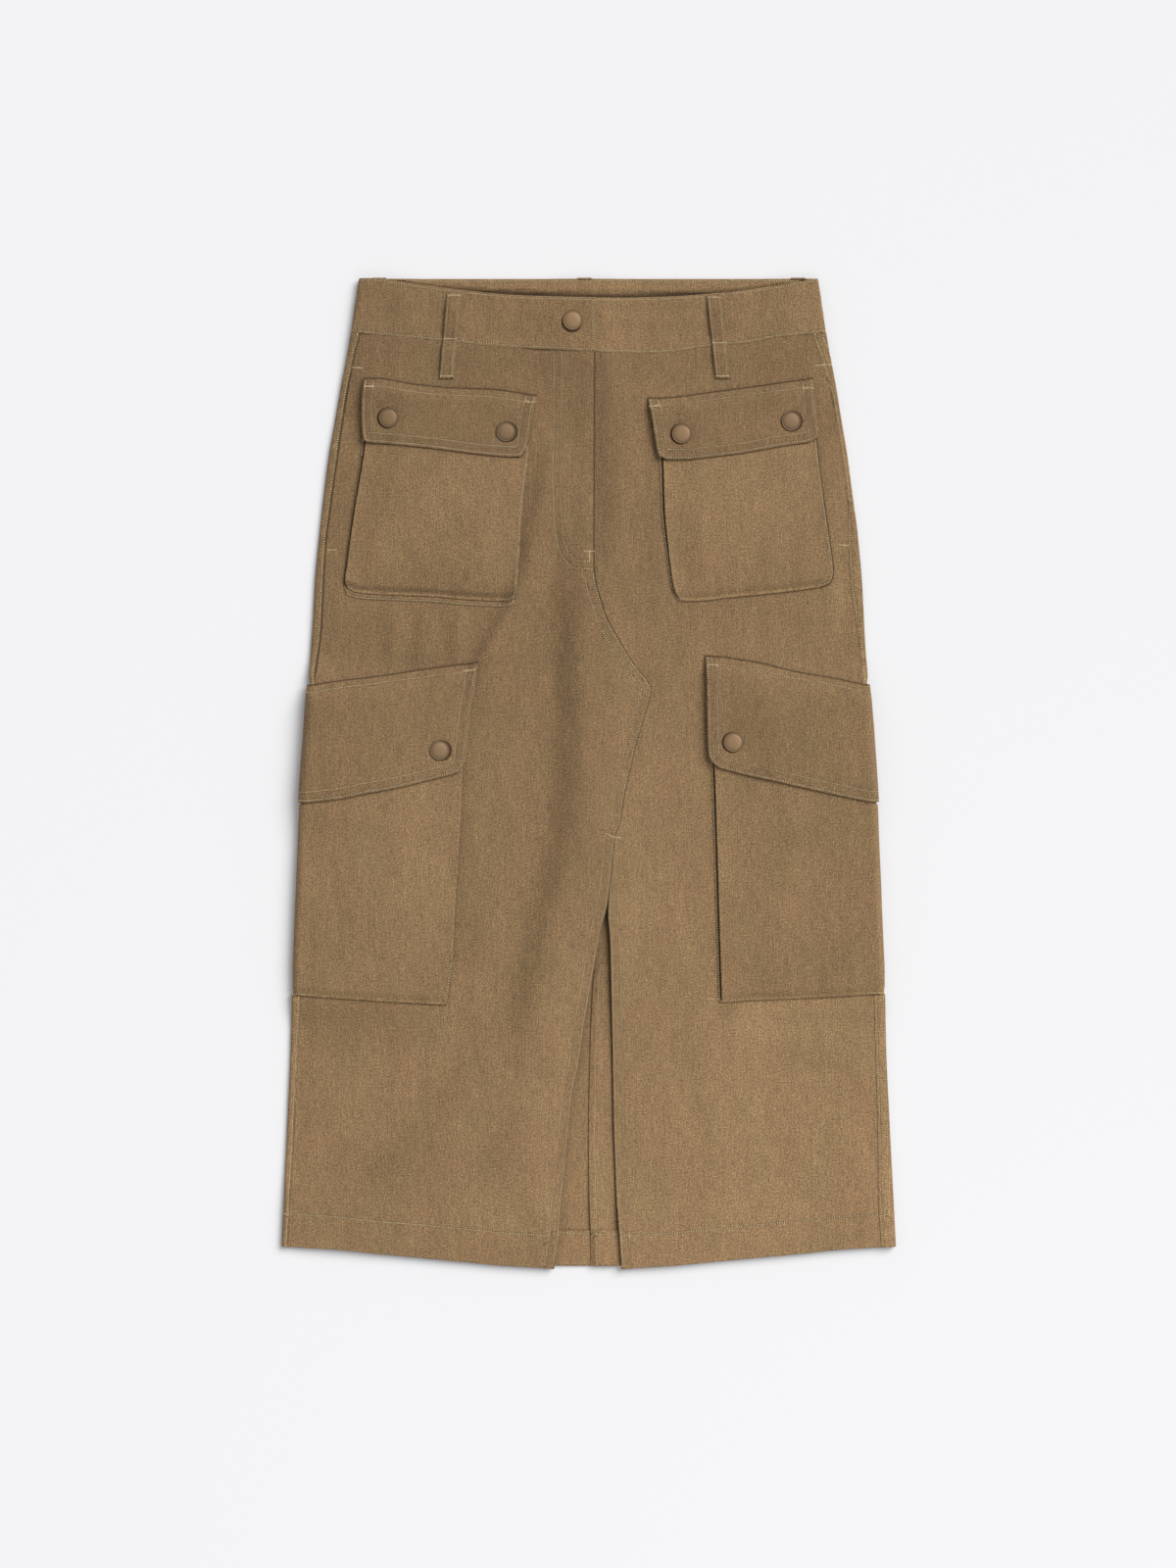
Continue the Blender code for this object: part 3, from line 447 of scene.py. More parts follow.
# painted light and shade: soft lighter and darker places: x, up, half width, half height, change
lightAndShadePatches = {
    "front_panel_left": (
        (-140, 465, 90, 42, -0.06), (-150, 68, 80, 48, -0.09), (-28, 115, 24, 130, 0.10),
        (-12, 210, 20, 160, 0.08), (-60, 292, 35, 60, 0.05), (-75, 35, 40, 50, 0.05),
        (-165, 186, 70, 34, -0.11), (-48, 555, 10, 50, -0.09),
    ),
    "front_panel_right": (
        (50, 512, 40, 40, -0.10), (24, 300, 16, 34, -0.08), (20, 200, 14, 100, -0.05),
        (78, 70, 75, 32, -0.04), (155, 190, 95, 30, 0.11), (160, 200, 75, 13, 0.12),
        (108, 198, 20, 16, -0.10), (130, 90, 140, 140, 0.055), (188, 560, 16, 110, 0.12),
        (206, 100, 26, 150, 0.04), (88, 452, 14, 24, 0.10), (52, 645, 12, 28, 0.09),
        (46, 548, 10, 45, -0.06),
    ),
    "back_panel_right": ((0, 110, 60, 140, 0.04),),
    "waistband_front_right": ((145, 718, 60, 60, 0.04),),
    "hip_pocket_left": ((-160, 540, 18, 30, 0.07),),
    "hip_pocket_right": ((176, 580, 55, 90, -0.11),),
    "cargo_pocket_left": (
        (-144, 262, 42, 50, -0.07), (-116, 315, 30, 90, 0.05), (-114, 220, 26, 26, -0.09),
        (-200, 238, 24, 30, -0.05),
    ),
    "cargo_pocket_right": ((112, 325, 38, 60, 0.05), (190, 300, 42, 95, -0.09), (188, 236, 40, 40, -0.08)),
    "cargo_pocket_left_flap": ((-105, 410, 34, 60, -0.04),),
    "cargo_pocket_right_flap": ((105, 410, 34, 60, 0.04), (114, 380, 26, 20, 0.08)),
}
draw = np.random.default_rng(5)
nowhere = 99.0  # a distance past every edge and crease
clothLooks = {
    "innerRim": 0.25, "rimShade": 0.7, "wornRun": 0.9, "wornInside": 0.4, "wornFrom": 0.8, "patchRun": (1, 0.2),
    "patterns": 2.0,
}


def walledGrid(rows, columns, keep):
    # two layers of a grid joined all round: x is the column, y the row, and z is -1 on the inner layer
    bm = bmesh.new()
    bmesh.ops.create_grid(bm, x_segments=columns - 1, y_segments=rows - 1, size=0.5)
    for vert in bm.verts:
        vert.co.x = round((vert.co.x + 0.5) * (columns - 1))
        vert.co.y = round((vert.co.y + 0.5) * (rows - 1))
    if keep is not None:
        cut = [face for face in bm.faces if not keep(*(int(c) for c in face.calc_center_median()[:2]))]
        bmesh.ops.delete(bm, geom=cut, context="FACES")
    for item in bmesh.ops.extrude_face_region(bm, geom=bm.faces[:])["geom"]:
        if isinstance(item, bmesh.types.BMVert):
            item.co.z = -1
    bmesh.ops.recalc_face_normals(bm, faces=bm.faces)
    return bm


def clothPiece(name, points, flat, wall, handed=1, keep=None, rounding=0.35, free="lrbt", shade=1.0,
               creaseShadow=nowhere, creaseInside=False, shadeAbove=False):
    # points and flat are [row, column] grids; wall is a number or a grid; handed is -1 where the
    # columns run towards -x on the upper face; free names the edges that are rounded and rubbed;
    # crease is the distance from an edge that lies over the piece, where painted shadow falls, and
    # shade is painted light and shade
    rows, columns = points.shape[:2]
    normal = facing(points) * handed
    wall = np.broadcast_to(np.asarray(wall, float), (rows, columns))[..., None]
    rim = np.zeros((rows, columns, 1))
    for edge, place in {"b": 0, "t": -1, "l": (slice(None), 0), "r": (slice(None), -1)}.items():
        if edge in free:
            rim[place] = 1
    outer = points - normal * wall * rounding * rim
    inner = points - normal * wall * (1 - clothLooks["innerRim"] * rim)
    distances = dict(zip("lrbt", edgeDistance(points)))
    near = np.min([distances[edge] for edge in free], axis=0)
    # painted light and shade in soft patches
    for x, up, halfWide, halfHigh, change in lightAndShadePatches.get(name, ()):
        away = np.hypot((points[..., 0] - x) / halfWide, (points[..., 1] - up) / halfHigh)
        shade = shade * (1 + change * ramp(away, *clothLooks["patchRun"]))
    bm = walledGrid(rows, columns, keep)
    places = []
    for vert in bm.verts:
        i, j, isInner = int(vert.co.x), int(vert.co.y), vert.co.z < -0.5
        places.append((j, i, isInner))
        x, up, z = (inner if isInner else outer)[j, i]
        vert.co = (x * mm, (up - middleUp) * mm, z * mm)
    if bm.calc_volume(signed=True) < 0:
        bmesh.ops.reverse_faces(bm, faces=bm.faces)
    mesh = meshFrom(bm, name)
    mesh.shade_smooth()
    j, i, isInner = np.array(places).T
    corner = np.zeros(len(mesh.loops), np.int32)
    mesh.loops.foreach_get("vertex_index", corner)
    uv = flat[j, i] * mm + draw.uniform(0, clothLooks["patterns"], 2)
    mesh.uv_layers.new(name="weave").data.foreach_set("uv", uv[corner].ravel().astype(np.float32))
    shade = np.broadcast_to(shade, (rows, columns))[j, i]
    if shadeAbove:
        shade = np.where(isInner, 1.0, shade)
    worn = np.exp(-near[j, i] / clothLooks["wornRun"]) * np.where(isInner, clothLooks["wornInside"], 1.0)
    mark(mesh, "worn", worn * (shade > clothLooks["wornFrom"]))
    # painted shade on the walls of the rounded rims; the tone holds the piece's tone and all its painted
    # light and shade
    innerRim = np.where(isInner & (rim[j, i, 0] > 0), clothLooks["rimShade"], 1.0)
    mark(mesh, "toneAndPaintedLight", tones.get(name, 1.0) * shade * innerRim)
    # painted shadow: how far each point lies from an edge over it
    creaseShadow = np.broadcast_to(creaseShadow, (rows, columns))[j, i]
    mark(mesh, "creaseShadow", np.where(isInner | (not creaseInside), creaseShadow, nowhere))
    obj = inScene(name + "_cloth", mesh)
    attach(obj, "root")
    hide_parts(name)
    pieces[name] = obj
    surfaces[name] = (points, normal, handed)


def patchGrid(patch, us, vs):
    # points between four edges: left and right are (up, x), bottom and top are (x, up)
    u, v = np.meshgrid(us, vs)
    leftUp = mix(patch["left"][0][0], patch["left"][-1][0], v)
    rightUp = mix(patch["right"][0][0], patch["right"][-1][0], v)
    lowX = mix(patch["bottom"][0][0], patch["bottom"][-1][0], u)
    highX = mix(patch["top"][0][0], patch["top"][-1][0], u)
    left = np.stack((curve(patch["left"], leftUp), leftUp), -1)
    right = np.stack((curve(patch["right"], rightUp), rightUp), -1)
    low = np.stack((lowX, curve(patch["bottom"], lowX)), -1)
    high = np.stack((highX, curve(patch["top"], highX)), -1)
    lowLeft, lowRight = np.array(patch["bottom"][0]), np.array(patch["bottom"][-1])
    highLeft, highRight = np.array(patch["top"][0]), np.array(patch["top"][-1])
    u, v = u[..., None], v[..., None]
    corners = mix(mix(lowLeft, lowRight, u), mix(highLeft, highRight, u), v)
    return mix(left, right, u) + mix(low, high, v) - corners


def joined(*parts):
    return np.stack(np.broadcast_arrays(*parts), -1)


def onTop(plan, top):
    x, up = plan[..., 0], plan[..., 1]
    return joined(x, up, top(x, up))


foldSteps = 9  # faces round a side fold
turnEase = 0.4  # how far above the turn-up's edge its second ply ends


def wrapGrid(side, plan, top, bottom, front, back, vs, straightBack=False):
    # a piece that runs over the front, round a side fold and on under the back. plan(run, share,
    # v) gives (out, up) on the front or back run
    sign = sides[side]
    v = np.asarray(vs, float)[:, None]
    out, up = plan("front", np.asarray(front)[None, :], v)
    parts = [joined(sign * out, up, top(sign * out, up))]
    unrolled = [out]
    axis, foldUp = plan("front", np.ones((1, 1)), v)
    high, low = top(sign * axis, foldUp), bottom(sign * axis, foldUp)
    radius = (high - low) / 2
    turn = np.pi * np.arange(1, foldSteps)[None, :] / foldSteps
    around = axis + radius * np.sin(turn)
    parts.append(joined(sign * around, foldUp, (high + low) / 2 + radius * np.cos(turn)))
    unrolled.append(axis + radius * turn)
    outBack, upBack = plan("back", np.asarray(back)[None, :], v)
    parts.append(joined(sign * outBack, upBack, bottom(sign * outBack, upBack)))
    unrolled.append(axis + np.pi * radius + axis - outBack)
    points = np.concatenate(parts, axis=1)
    o = np.concatenate([np.broadcast_to(u, p.shape[:2]) for u, p in zip(unrolled, parts)], axis=1)
    if straightBack:
        o = o - 2 * axis - np.pi * radius
    return points, joined(sign * o, points[..., 1])


# heights of the panels' rows, close together at the hem, its edge, the pockets' edges and the waist
bodyRows = np.concatenate((
    mix(body["hemSide"], body["hemSide"] + body["hemTurn"], spread(body["hemTurn"], 2.4)),
    (44.2, 44.9), np.arange(46.5, 184, 2.6), np.arange(184, 203, 2.0),
    np.arange(204, 210, 0.7), np.arange(211, 346, 2.6), np.arange(347, 353, 0.7),
    np.arange(354, 400, 2.6), np.arange(400, 470, 2.0), np.arange(472, 690, 2.6),
    (691.5, 694, 696.5, 699, 701, 702.6, 703.8, 704.7, 705.4, 705.95),
))


# painted shade: how dark the fronts are painted, and how sharp the painted shadow line, beside what lies over
# them; with a painted highlight and painted light
frontLooks = {
    "width": 230, "step": 3.6, "slitShade": 0.7, "edgeShade": {"left": 0.35, "right": 0.85},
    "edgeUp": (430, 520), "edgeRun": (0.2, 1.5), "lowCrease": 3.0,
    "sideCrease": {"left": 1.0, "right": 9.0}, "creaseUp": (440, 450), "creaseGap": 0.1,
    "lapCrease": (4.5, 2.4), "lapCreaseUp": (440, 480), "rimLight": 0.2, "rimRun": (2.6, 1.2),
    "rimUp": (250, 200), "bandUp": ((500, 560), (706, 690)), "flyBand": 0.08, "bandRun": (13, 3),
    "flyDim": 0.06, "dimRun": (70, 30), "flyLight": 0.07, "lightInside": 30, "lightRun": (30, 8),
    "lightUp": ((480, 540), (690, 640)),
}


def makeFront(side, lap):
    sign, looks = sides[side], frontLooks
    edge = body[side + "FrontEdge"]
    shares = spread(looks["width"], looks["step"])
    u, nominal = np.meshgrid(shares, bodyRows)
    outer = sign * (foldAxis(nominal) - body["seamGap"])
    up = bodyUp(outer, nominal)
    for _ in range(4):
        x = mix(curve(edge, up), outer, u)
        up = bodyUp(x, nominal, waist=band["seam"])
    points = joined(x, up, frontTop(x, up) + lap(x, up))
    upper = lapWall(x, up) if side == "left" else cloth
    wall = np.where(nominal < turnEnd + turnEase, 2 * cloth, upper)
    # painted shade along the front's free edge, and a painted shadow line beside the side seam
    dark = mix(looks["slitShade"], looks["edgeShade"][side], ramp(up[:, :1], *looks["edgeUp"]))
    dark = mix(dark, 1, ramp(shares * looks["width"], *looks["edgeRun"])[None, :])
    sharp = mix(looks["lowCrease"], looks["sideCrease"][side], ramp(up, *looks["creaseUp"]))
    creaseShadow = sharp * (sideSeam(side, up) - sign * x) + looks["creaseGap"]
    beside = x - curve(body["leftFrontEdge"], up)
    if side == "right":
        # painted shadow where the fly stands over this front, and a painted highlight along the slit's edge
        creaseShadow = np.minimum(creaseShadow, mix(*looks["lapCrease"], ramp(up, *looks["lapCreaseUp"])) * beside)
        rim = ramp(x - curve(edge, up), *looks["rimRun"]) * ramp(up, *looks["rimUp"])
        dark = dark * (1 + looks["rimLight"] * rim)
        low, high = looks["bandUp"]
        dim = looks["flyBand"] * ramp(beside, *looks["bandRun"])
        dim = dim + looks["flyDim"] * ramp(beside, *looks["dimRun"])
        dark = dark * (1 - ramp(up, *low) * ramp(up, *high) * dim)
    else:
        # painted light on this front beside the fly
        low, high = looks["lightUp"]
        lit = ramp(np.abs(beside + looks["lightInside"]), *looks["lightRun"])
        dark = dark * (1 + looks["flyLight"] * lit * ramp(up, *low) * ramp(up, *high))
    clothPiece(f"front_panel_{side}", points, points[..., :2], wall, handed=sign, free="lb", shade=dark,
               creaseShadow=creaseShadow)


makeFront("left", frontLap)
makeFront("right", frontTuck)
print("fronts made")

# the backs: their columns, their wall where they lap, and how dark they are painted beside seams and the
# slit, as painted shade
backLooks = {
    "width": 225, "step": 4.5, "strip": (0, 0.09, 0.17, 0.29, 0.46, 0.7, 1), "lapWall": (0.15, 0.35),
    "lapWallRun": 4.0, "seamShade": {"left": 0.3, "right": 1.0}, "lowSeamShade": 0.92, "seamUp": (430, 450),
    "openSeam": ((446, 536), (548, 676)), "openRun": 5, "nextColumn": 0.75,
    "turnShade": {"left": 0.55, "right": 0.775}, "turnLine": 0.7, "turnRun": (0.9, 0.2),
    "stripTone": {"left": 0.93, "right": 1.28}, "stripUp": (440, 470),
    "slitDeep": 0.86, "slitRun": (9, 1), "slitOver": 10, "slitUp": 200, "leftEase": 2,
}


def makeBack(side):
    sign, looks = sides[side], backLooks
    under = body["backLap"] if side == "left" else 0.0

    def plan(run, share, nominal):
        axis = foldAxis(nominal)
        if run == "front":
            out = mix(sideSeam(side, nominal), axis, share)
            return out, bodyUp(sign * out, nominal, waist=band["seam"])
        edge = curve(body["backSeam"], nominal) + under
        out = mix(axis, sign * edge, share)
        return out, bodyUp(sign * out, nominal, hem=backHemUp)

    def top(x, up):
        return frontTop(x, up) + body["stripGap"] + stripWall(x, up)

    def bottom(x, up):
        if side == "left":
            return backRest(x, up)
        edge = curve(body["backSeam"], up) + body["backLap"]
        lap = cloth + ease + cloth * hemRise(up)
        return backRest(x, up) + lap * ramp(x, edge + body["backLapRun"], edge + body["edgeRun"])

    back, front = spread(looks["width"], looks["step"], start=False), np.array(looks["strip"])
    points, flat = wrapGrid(side, plan, top, bottom, front, back, bodyRows, True)
    x, up = points[..., 0], points[..., 1]
    nominal, column = bodyRows[:, None], np.arange(points.shape[1])[None, :]
    onBack, onStrip = column >= len(front) + foldSteps - 1, column < len(front)
    turned = nominal < turnEnd + turnEase
    wall = np.where(onStrip, stripWall(x, up), cloth * np.where(turned & onBack, 2, 1))
    if side == "right":
        # thinner where it laps over the left back
        beside = np.abs(x - curve(body["backSeam"], nominal))
        thin = mix(np.where(turned, *looks["lapWall"]), 1, ramp(beside, 0, looks["lapWallRun"]))
        wall = np.where(onBack, wall * thin, wall)
    # painted shade along the seam's edge, more where the pocket's mouth opens, and behind the turn-up's edge
    gap, mouths = looks["openRun"], looks["openSeam"]
    opening = sum(ramp(nominal, low, low + gap) * ramp(nominal, high, high - gap) for low, high in mouths)
    openShade = looks["seamShade"][side]
    closedShade = mix(looks["lowSeamShade"], 0.5 + 0.5 * openShade, ramp(nominal, *looks["seamUp"]))
    seamDark = mix(closedShade, openShade, opening)
    shade = mix(1, seamDark, (column == 0) + looks["nextColumn"] * (column == 1))
    behind = ramp(np.abs(nominal - turnEnd - looks["turnLine"]), *looks["turnRun"]) * onBack
    shade = shade * mix(1, looks["turnShade"][side], behind)
    # painted light on the right side strip, and painted shade on the upper part of the left one
    strip = onStrip * (ramp(nominal, *looks["stripUp"]) if side == "left" else 1)
    shade = shade * mix(1, looks["stripTone"][side], strip)
    # inside, painted shadow beside the edges of the fronts in the slit
    slitEnd = body["slitTop"] + looks["slitOver"]
    beyond = curve(body["rightFrontEdge"], up) - x
    creaseShadow = np.where(onBack & (nominal < slitEnd), beyond, nowhere)
    beyond = np.minimum(beyond, x - curve(body["leftFrontEdge"], up) + looks["leftEase"])
    paintedShadow = onBack * ramp(beyond, *looks["slitRun"]) * ramp(nominal, slitEnd, looks["slitUp"])
    shade = shade * mix(1, looks["slitDeep"], paintedShadow)
    clothPiece(f"back_panel_{side}", points, flat, wall, handed=sign, free="lrb", shade=shade, creaseShadow=creaseShadow,
               creaseInside=True)


makeBack("left")
makeBack("right")
print("backs made")

snaps = {
    "radius": 7.5, "dimple": 0.5, "dimpleRun": (14.0, 8.2), "seat": 0.12, "steps": 48,
    "ringSharp": 1.5, "ringGap": 0.25,
    "hip": {"left": {"outer": (-151.6, 641.3), "inner": (-61.0, 631.0)},
            "right": {"inner": (69.0, 629.3), "outer": (153.6, 639.0)}},
    "cargo": {"left": (-110.6, 391.0), "right": (108.0, 397.2)},
    "waistband": (-12.6, 713.6),
    # radius, height: dome, groove and rolled rim
    "profile": (
        (0, 1.95), (1.6, 1.93), (3.0, 1.84), (4.3, 1.66), (5.3, 1.42), (5.85, 1.2), (6.1, 0.98), (6.35, 0.9),
        (6.6, 0.98), (6.85, 1.12), (7.1, 1.12), (7.35, 0.96), (7.5, 0.66), (7.45, 0.3), (7.2, 0.0), (0, 0.0),
    ),
}
capPlaces = (snaps["waistband"], *snaps["cargo"].values(), *snaps["hip"]["left"].values(),
             *snaps["hip"]["right"].values())


def capRing(x, up):
    # painted shadow on the cloth beside the rim of the nearest cap, as a distance from a crease
    away = [np.hypot(x - capX, up - capUp) - snaps["radius"] for capX, capUp in capPlaces]
    return snaps["ringSharp"] * np.min(away, axis=0) + snaps["ringGap"]


bandRows = spread(body["length"] - body["bandSeam"], 1.3)
frontBand = {"width": 185, "step": 3.0, "back": (0, 0.25, 0.5, 0.75, 1), "rounding": 0.15, "endShade": 0.84,
             "endRun": (-178, -60)}
backBand = {"width": 335, "step": 3.0, "ditch": 4.5, "ditchEnds": 1.3, "ditchDepth": 1.2, "middle": 3,
            "ditchRun": (125, 50), "ditchStop": (156, 142), "sinkRun": (-0.6, 0.9), "fullWidth": 1.5,
            "gapDark": 0.74, "gapRun": (0.0, 1.6)}


def makeFrontBand(side):
    sign = sides[side]

    def plan(run, share, v):
        middle = mix(body["bandSeam"], body["length"], v)
        axis = foldAxis(middle)
        if run == "back":
            return mix(axis, axis - band["backRun"], share), middle
        inner = -band["lapEdge"] if side == "left" else band["underlap"]
        out = mix(inner, axis, share)
        return out, mix(curve(band["seam"], sign * out), curve(band["top"], sign * out), v)

    def top(x, up):
        return bandTop(x, up) + (bandLap(x) if side == "left" else -bandTuck(x))

    front = spread(frontBand["width"], frontBand["step"], end=False)
    points, flat = wrapGrid(side, plan, top, backRest, front, frontBand["back"], bandRows)
    # painted shade: the left band is painted darker towards its end
    ended = mix(frontBand["endShade"], 1, ramp(points[..., 0], *frontBand["endRun"]))
    shade = ended if side == "left" else 1.0
    # painted shadow round the snap's cap on the band
    clothPiece(f"waistband_front_{side}", points, flat, body["band"], handed=sign, shade=shade,
               rounding=frontBand["rounding"], creaseShadow=capRing(points[..., 0], points[..., 1]))


def makeBackBand():
    v = bandRows[:, None]
    up = mix(body["bandSeam"], body["length"], v)
    half = foldAxis(up) - (band["backRun"] + body["seamGap"])
    x = mix(-1.0, 1.0, spread(backBand["width"], backBand["step"])[None, :]) * half
    # behind the front's edge its inside sinks into a narrow ditch
    away = np.abs(x - backBand["middle"])
    width = mix(backBand["ditchEnds"], backBand["ditch"], ramp(away, *backBand["ditchRun"]))
    width = width * ramp(away, *backBand["ditchStop"])
    below = curve(band["top"], x) + width - up
    sink = backBand["ditchDepth"] * ramp(below, *backBand["sinkRun"]) * ramp(width, 0, backBand["fullWidth"])
    points = joined(x, up, backRest(x, up) + body["band"] - sink)
    # painted shadow in the ditch behind the front band's edge, on the inside face only
    dark = backBand["gapDark"] * ramp(below, *backBand["gapRun"]) * ramp(width, 0, backBand["ditchEnds"])
    wall = body["band"] - sink
    clothPiece("waistband_back", points, points[..., :2], wall, shade=1 - dark, shadeAbove=True)


makeFrontBand("left")
makeFrontBand("right")
makeBackBand()
print("waistband made")

hipFaces = {
    "left": {
        "left": ((513, -181), (518, -183.5), (531, -182), (569, -176.8), (624, -168), (658, -165)),
        "right": ((505, -56.5), (509, -54.5), (515, -54), (544, -52), (572, -50), (618, -45), (647, -43)),
        "bottom": (
            (-181, 513), (-176, 510.5), (-164, 509), (-118, 507), (-88, 504.5), (-62, 503.5), (-56.5, 505),
        ),
        "top": ((-165, 658), (-43, 647)), "reveal": (3.2, 1.8, 0.0, 4.2),
    },
    "right": {
        "left": ((504.5, 69), (509, 66), (515, 64), (543, 60.3), (573, 57.4), (609, 56.4), (646, 54)),
        "right": ((514, 174), (517.5, 183), (526, 185), (549, 182.4), (574, 178.7), (620, 173), (657, 170)),
        "bottom": ((69, 504.5), (74, 503.6), (88, 504), (103, 506), (134, 509), (164, 512.6), (174, 514)),
        "top": ((54, 646), (170, 657)),
        "reveal": (3.9, 1.9, 0.0, 0.6),
    },
}
hipFlaps = {
    "left": {
        "left": ((623, -167), (625, -169.5), (629, -170.3), (646, -171), (672, -169.5)),
        "right": ((612, -51), (618, -46.8), (629, -44.5), (642, -43), (659, -38.5)),
        "bottom": ((-167, 623), (-149, 621.5), (-118, 618.3), (-75, 613), (-60, 612), (-51, 612)),
        "top": ((-169.5, 672), (-160, 672), (-134, 668), (-104, 665), (-75, 664), (-38.5, 659)),
    },
    "right": {
        "left": ((610, 59), (613.5, 52.8), (618, 51.6), (640, 48), (657, 44.6)),
        "right": ((623, 165), (625, 170), (629, 173.6), (646, 171), (672, 169)),
        "bottom": ((59, 610), (75, 610), (88, 611.3), (118, 615), (149, 620.6), (165, 623)),
        "top": ((44.6, 657), (60, 657.5), (88, 661), (118, 665), (148, 669), (169, 672)),
    },
}
# inner edge as (up, out), bottom and top as (out, up)
cargoFaces = {
    "left": {
        "inner": ((199, 107), (218, 104), (238, 102), (283, 100), (328, 97), (371, 95), (442, 91)),
        "bottom": ((107, 199), (134, 200.5), (187, 204), (217, 206.5), (224, 208)),
        "top": ((91, 441), (122, 437), (159, 431.5), (188, 428), (213, 424)),
        "reveal": 0.3,
    },
    "right": {
        "inner": ((201, 100.5), (249, 99), (283, 98), (317, 97), (378, 95), (446, 92)),
        "bottom": ((100, 201), (125, 202.6), (153, 203.8), (193, 206), (224, 208)),
        "top": ((92, 446), (127, 441), (157, 435), (188, 429.5), (213, 424)),
        "reveal": 2.6,
    },
}
cargoFlaps = {
    "left": {
        "inner": ((373, 102), (375.5, 97), (382, 93.4), (395, 92), (423, 88.4), (437, 86), (458, 83.3)),
        "bottom": ((102, 373), (122, 368), (145, 362.5), (166, 358.6), (190, 354), (217, 351)),
        "top": ((83.3, 458), (122, 453), (159, 447.5), (188, 444), (213, 440)),
    },
    "right": {
        "inner": ((378, 98), (381, 94.5), (387, 90.5), (402, 89.6), (444, 89), (463, 88)),
        "bottom": ((98, 378), (120, 372), (142, 367.3), (165, 362), (188, 357), (217, 351)),
        "top": ((88, 463), (100, 462), (127, 458), (157, 451), (188, 445.5), (213, 440)),
    },
}
# soft crown of each face: x, up, half width, half height, height
crowns = (
    (-116, 570, 66, 68, 1.9), (119, 570, 64, 68, 1.9), (-158, 285, 60, 85, 1.8), (158, 285, 60, 85, 1.8),
)
faceWaves = waves(23, (90, 70, 52, 40, 30, 24))
# both kinds of pocket: ripples, how much a flap follows the face's puff, and how far a flap lies off it
pockets = {"ripple": 0.3, "flapPuff": 0.8, "flapLoft": 0.15}


def dimple(x, up):
    # the cloth sinks a little round each snap
    away = [np.hypot(x - capX, up - capUp) for capX, capUp in capPlaces]
    return sum(snaps["dimple"] * ramp(distance, *snaps["dimpleRun"]) for distance in away)


def crown(x, up):
    # how far the pockets' faces and flaps bulge
    height = 0.0
    for middle, middleHigh, halfWidth, halfHeight, top in crowns:
        across = np.minimum(1, np.abs(x - middle) / halfWidth)
        along = np.minimum(1, np.abs(up - middleHigh) / halfHeight)
        height = height + top * ramp(across, 1, 0) * ramp(along, 1, 0)
    return height


def puff(piece, x, up, run, height, inner="left"):
    # the faces rise quickly from their lower and inner edges
    above = up - curve(piece["bottom"], x)
    beside = np.abs(x - curve(piece[inner], up))
    return height * ramp(above, 0, run) * ramp(beside, 0, run)


# the part of a gusset that shows is a flange on the body; sharp, low and creaseGap set the painted shadow on
# it beside the face's edge
gusset = {"edge": 0.4, "wall": 0.8, "run": 2.0, "gap": 0.1, "settle": 1.5, "settleRun": (7.0, 0.5),
          "cells": 12, "sharp": 0.6, "low": {"left": 1.3, "right": 5.5}, "creaseGap": 0.3}


def settled(piece, x, up):
    # a face sinks towards its bottom edge
    return gusset["settle"] * ramp(up - curve(piece["bottom"], x), *gusset["settleRun"])


def onBody(x, up):
    # the outer face of a ply that lies on the body
    return bodyTop(x, up) + ease + cloth


def faceHeight(face, x, out, up, rise):
    height = pocketStack - settled(face, out, up) + crown(x, up) + rise + pockets["ripple"] * faceWaves(x, up)
    return bodyTop(x, up) + height


def flapHeight(x, up, stack):
    stack = stack + pockets["ripple"] * faceWaves(x, up) + pockets["flapLoft"]
    return bodyTop(x, up) + ease + crown(x, up) + stack + body["flap"] - dimple(x, up)


def flange(points, front=None):
    # thins the piece towards its free edges and lays its front run on the body
    across, back, along, _ = edgeDistance(points)
    near = np.minimum(np.minimum(across, back), along)
    wall = mix(gusset["edge"], gusset["wall"], ramp(near, 0, gusset["run"]))
    drop = cloth + ease - gusset["gap"] - wall
    if front is not None:
        wall, drop = mix(cloth, wall, front), drop * front
    return np.concatenate((points[..., :2], (points[..., 2] - drop)[..., None]), axis=2), wall


def underEdge(piece, side, x, up, low):
    # how far the flange lies from the face that stands over it, for the painted shadow there
    beside, below = curve(piece[side], up) - x, curve(piece["bottom"], x) - up
    return np.maximum(gusset["sharp"] * beside, low * below + gusset["creaseGap"])


def underFlap(flap, side, sign, x, up):
    # how far a face's point lies from the flap that stands over it, for the painted shadow there
    return np.maximum(curve(flap["bottom"], x) - up, sign * (x - curve(flap[side], up)))


def grown(patch):
    # the patch of the gusset that shows beyond a hip pocket's face
    leftHigh, left, right, low = patch["reveal"]
    lowLeft, lowRight = patch["bottom"][0][0], patch["bottom"][-1][0]
    span = lowRight - lowLeft
    foot, head = patch["left"][0][0], patch["left"][-1][0]

    def moved(x):
        return x - left * (lowRight - x) / span + right * (x - lowLeft) / span

    def beside(up):
        return mix(left, leftHigh, (up - foot) / (head - foot))

    return {
        "left": [(up - low * (row == 0), x - beside(up)) for row, (up, x) in enumerate(patch["left"])],
        "right": [(up - low * (row == 0), x + right) for row, (up, x) in enumerate(patch["right"])],
        "bottom": [(moved(x), up - low) for x, up in patch["bottom"]],
        "top": [(x + right if row else x - leftHigh, up) for row, (x, up) in enumerate(patch["top"])],
    }


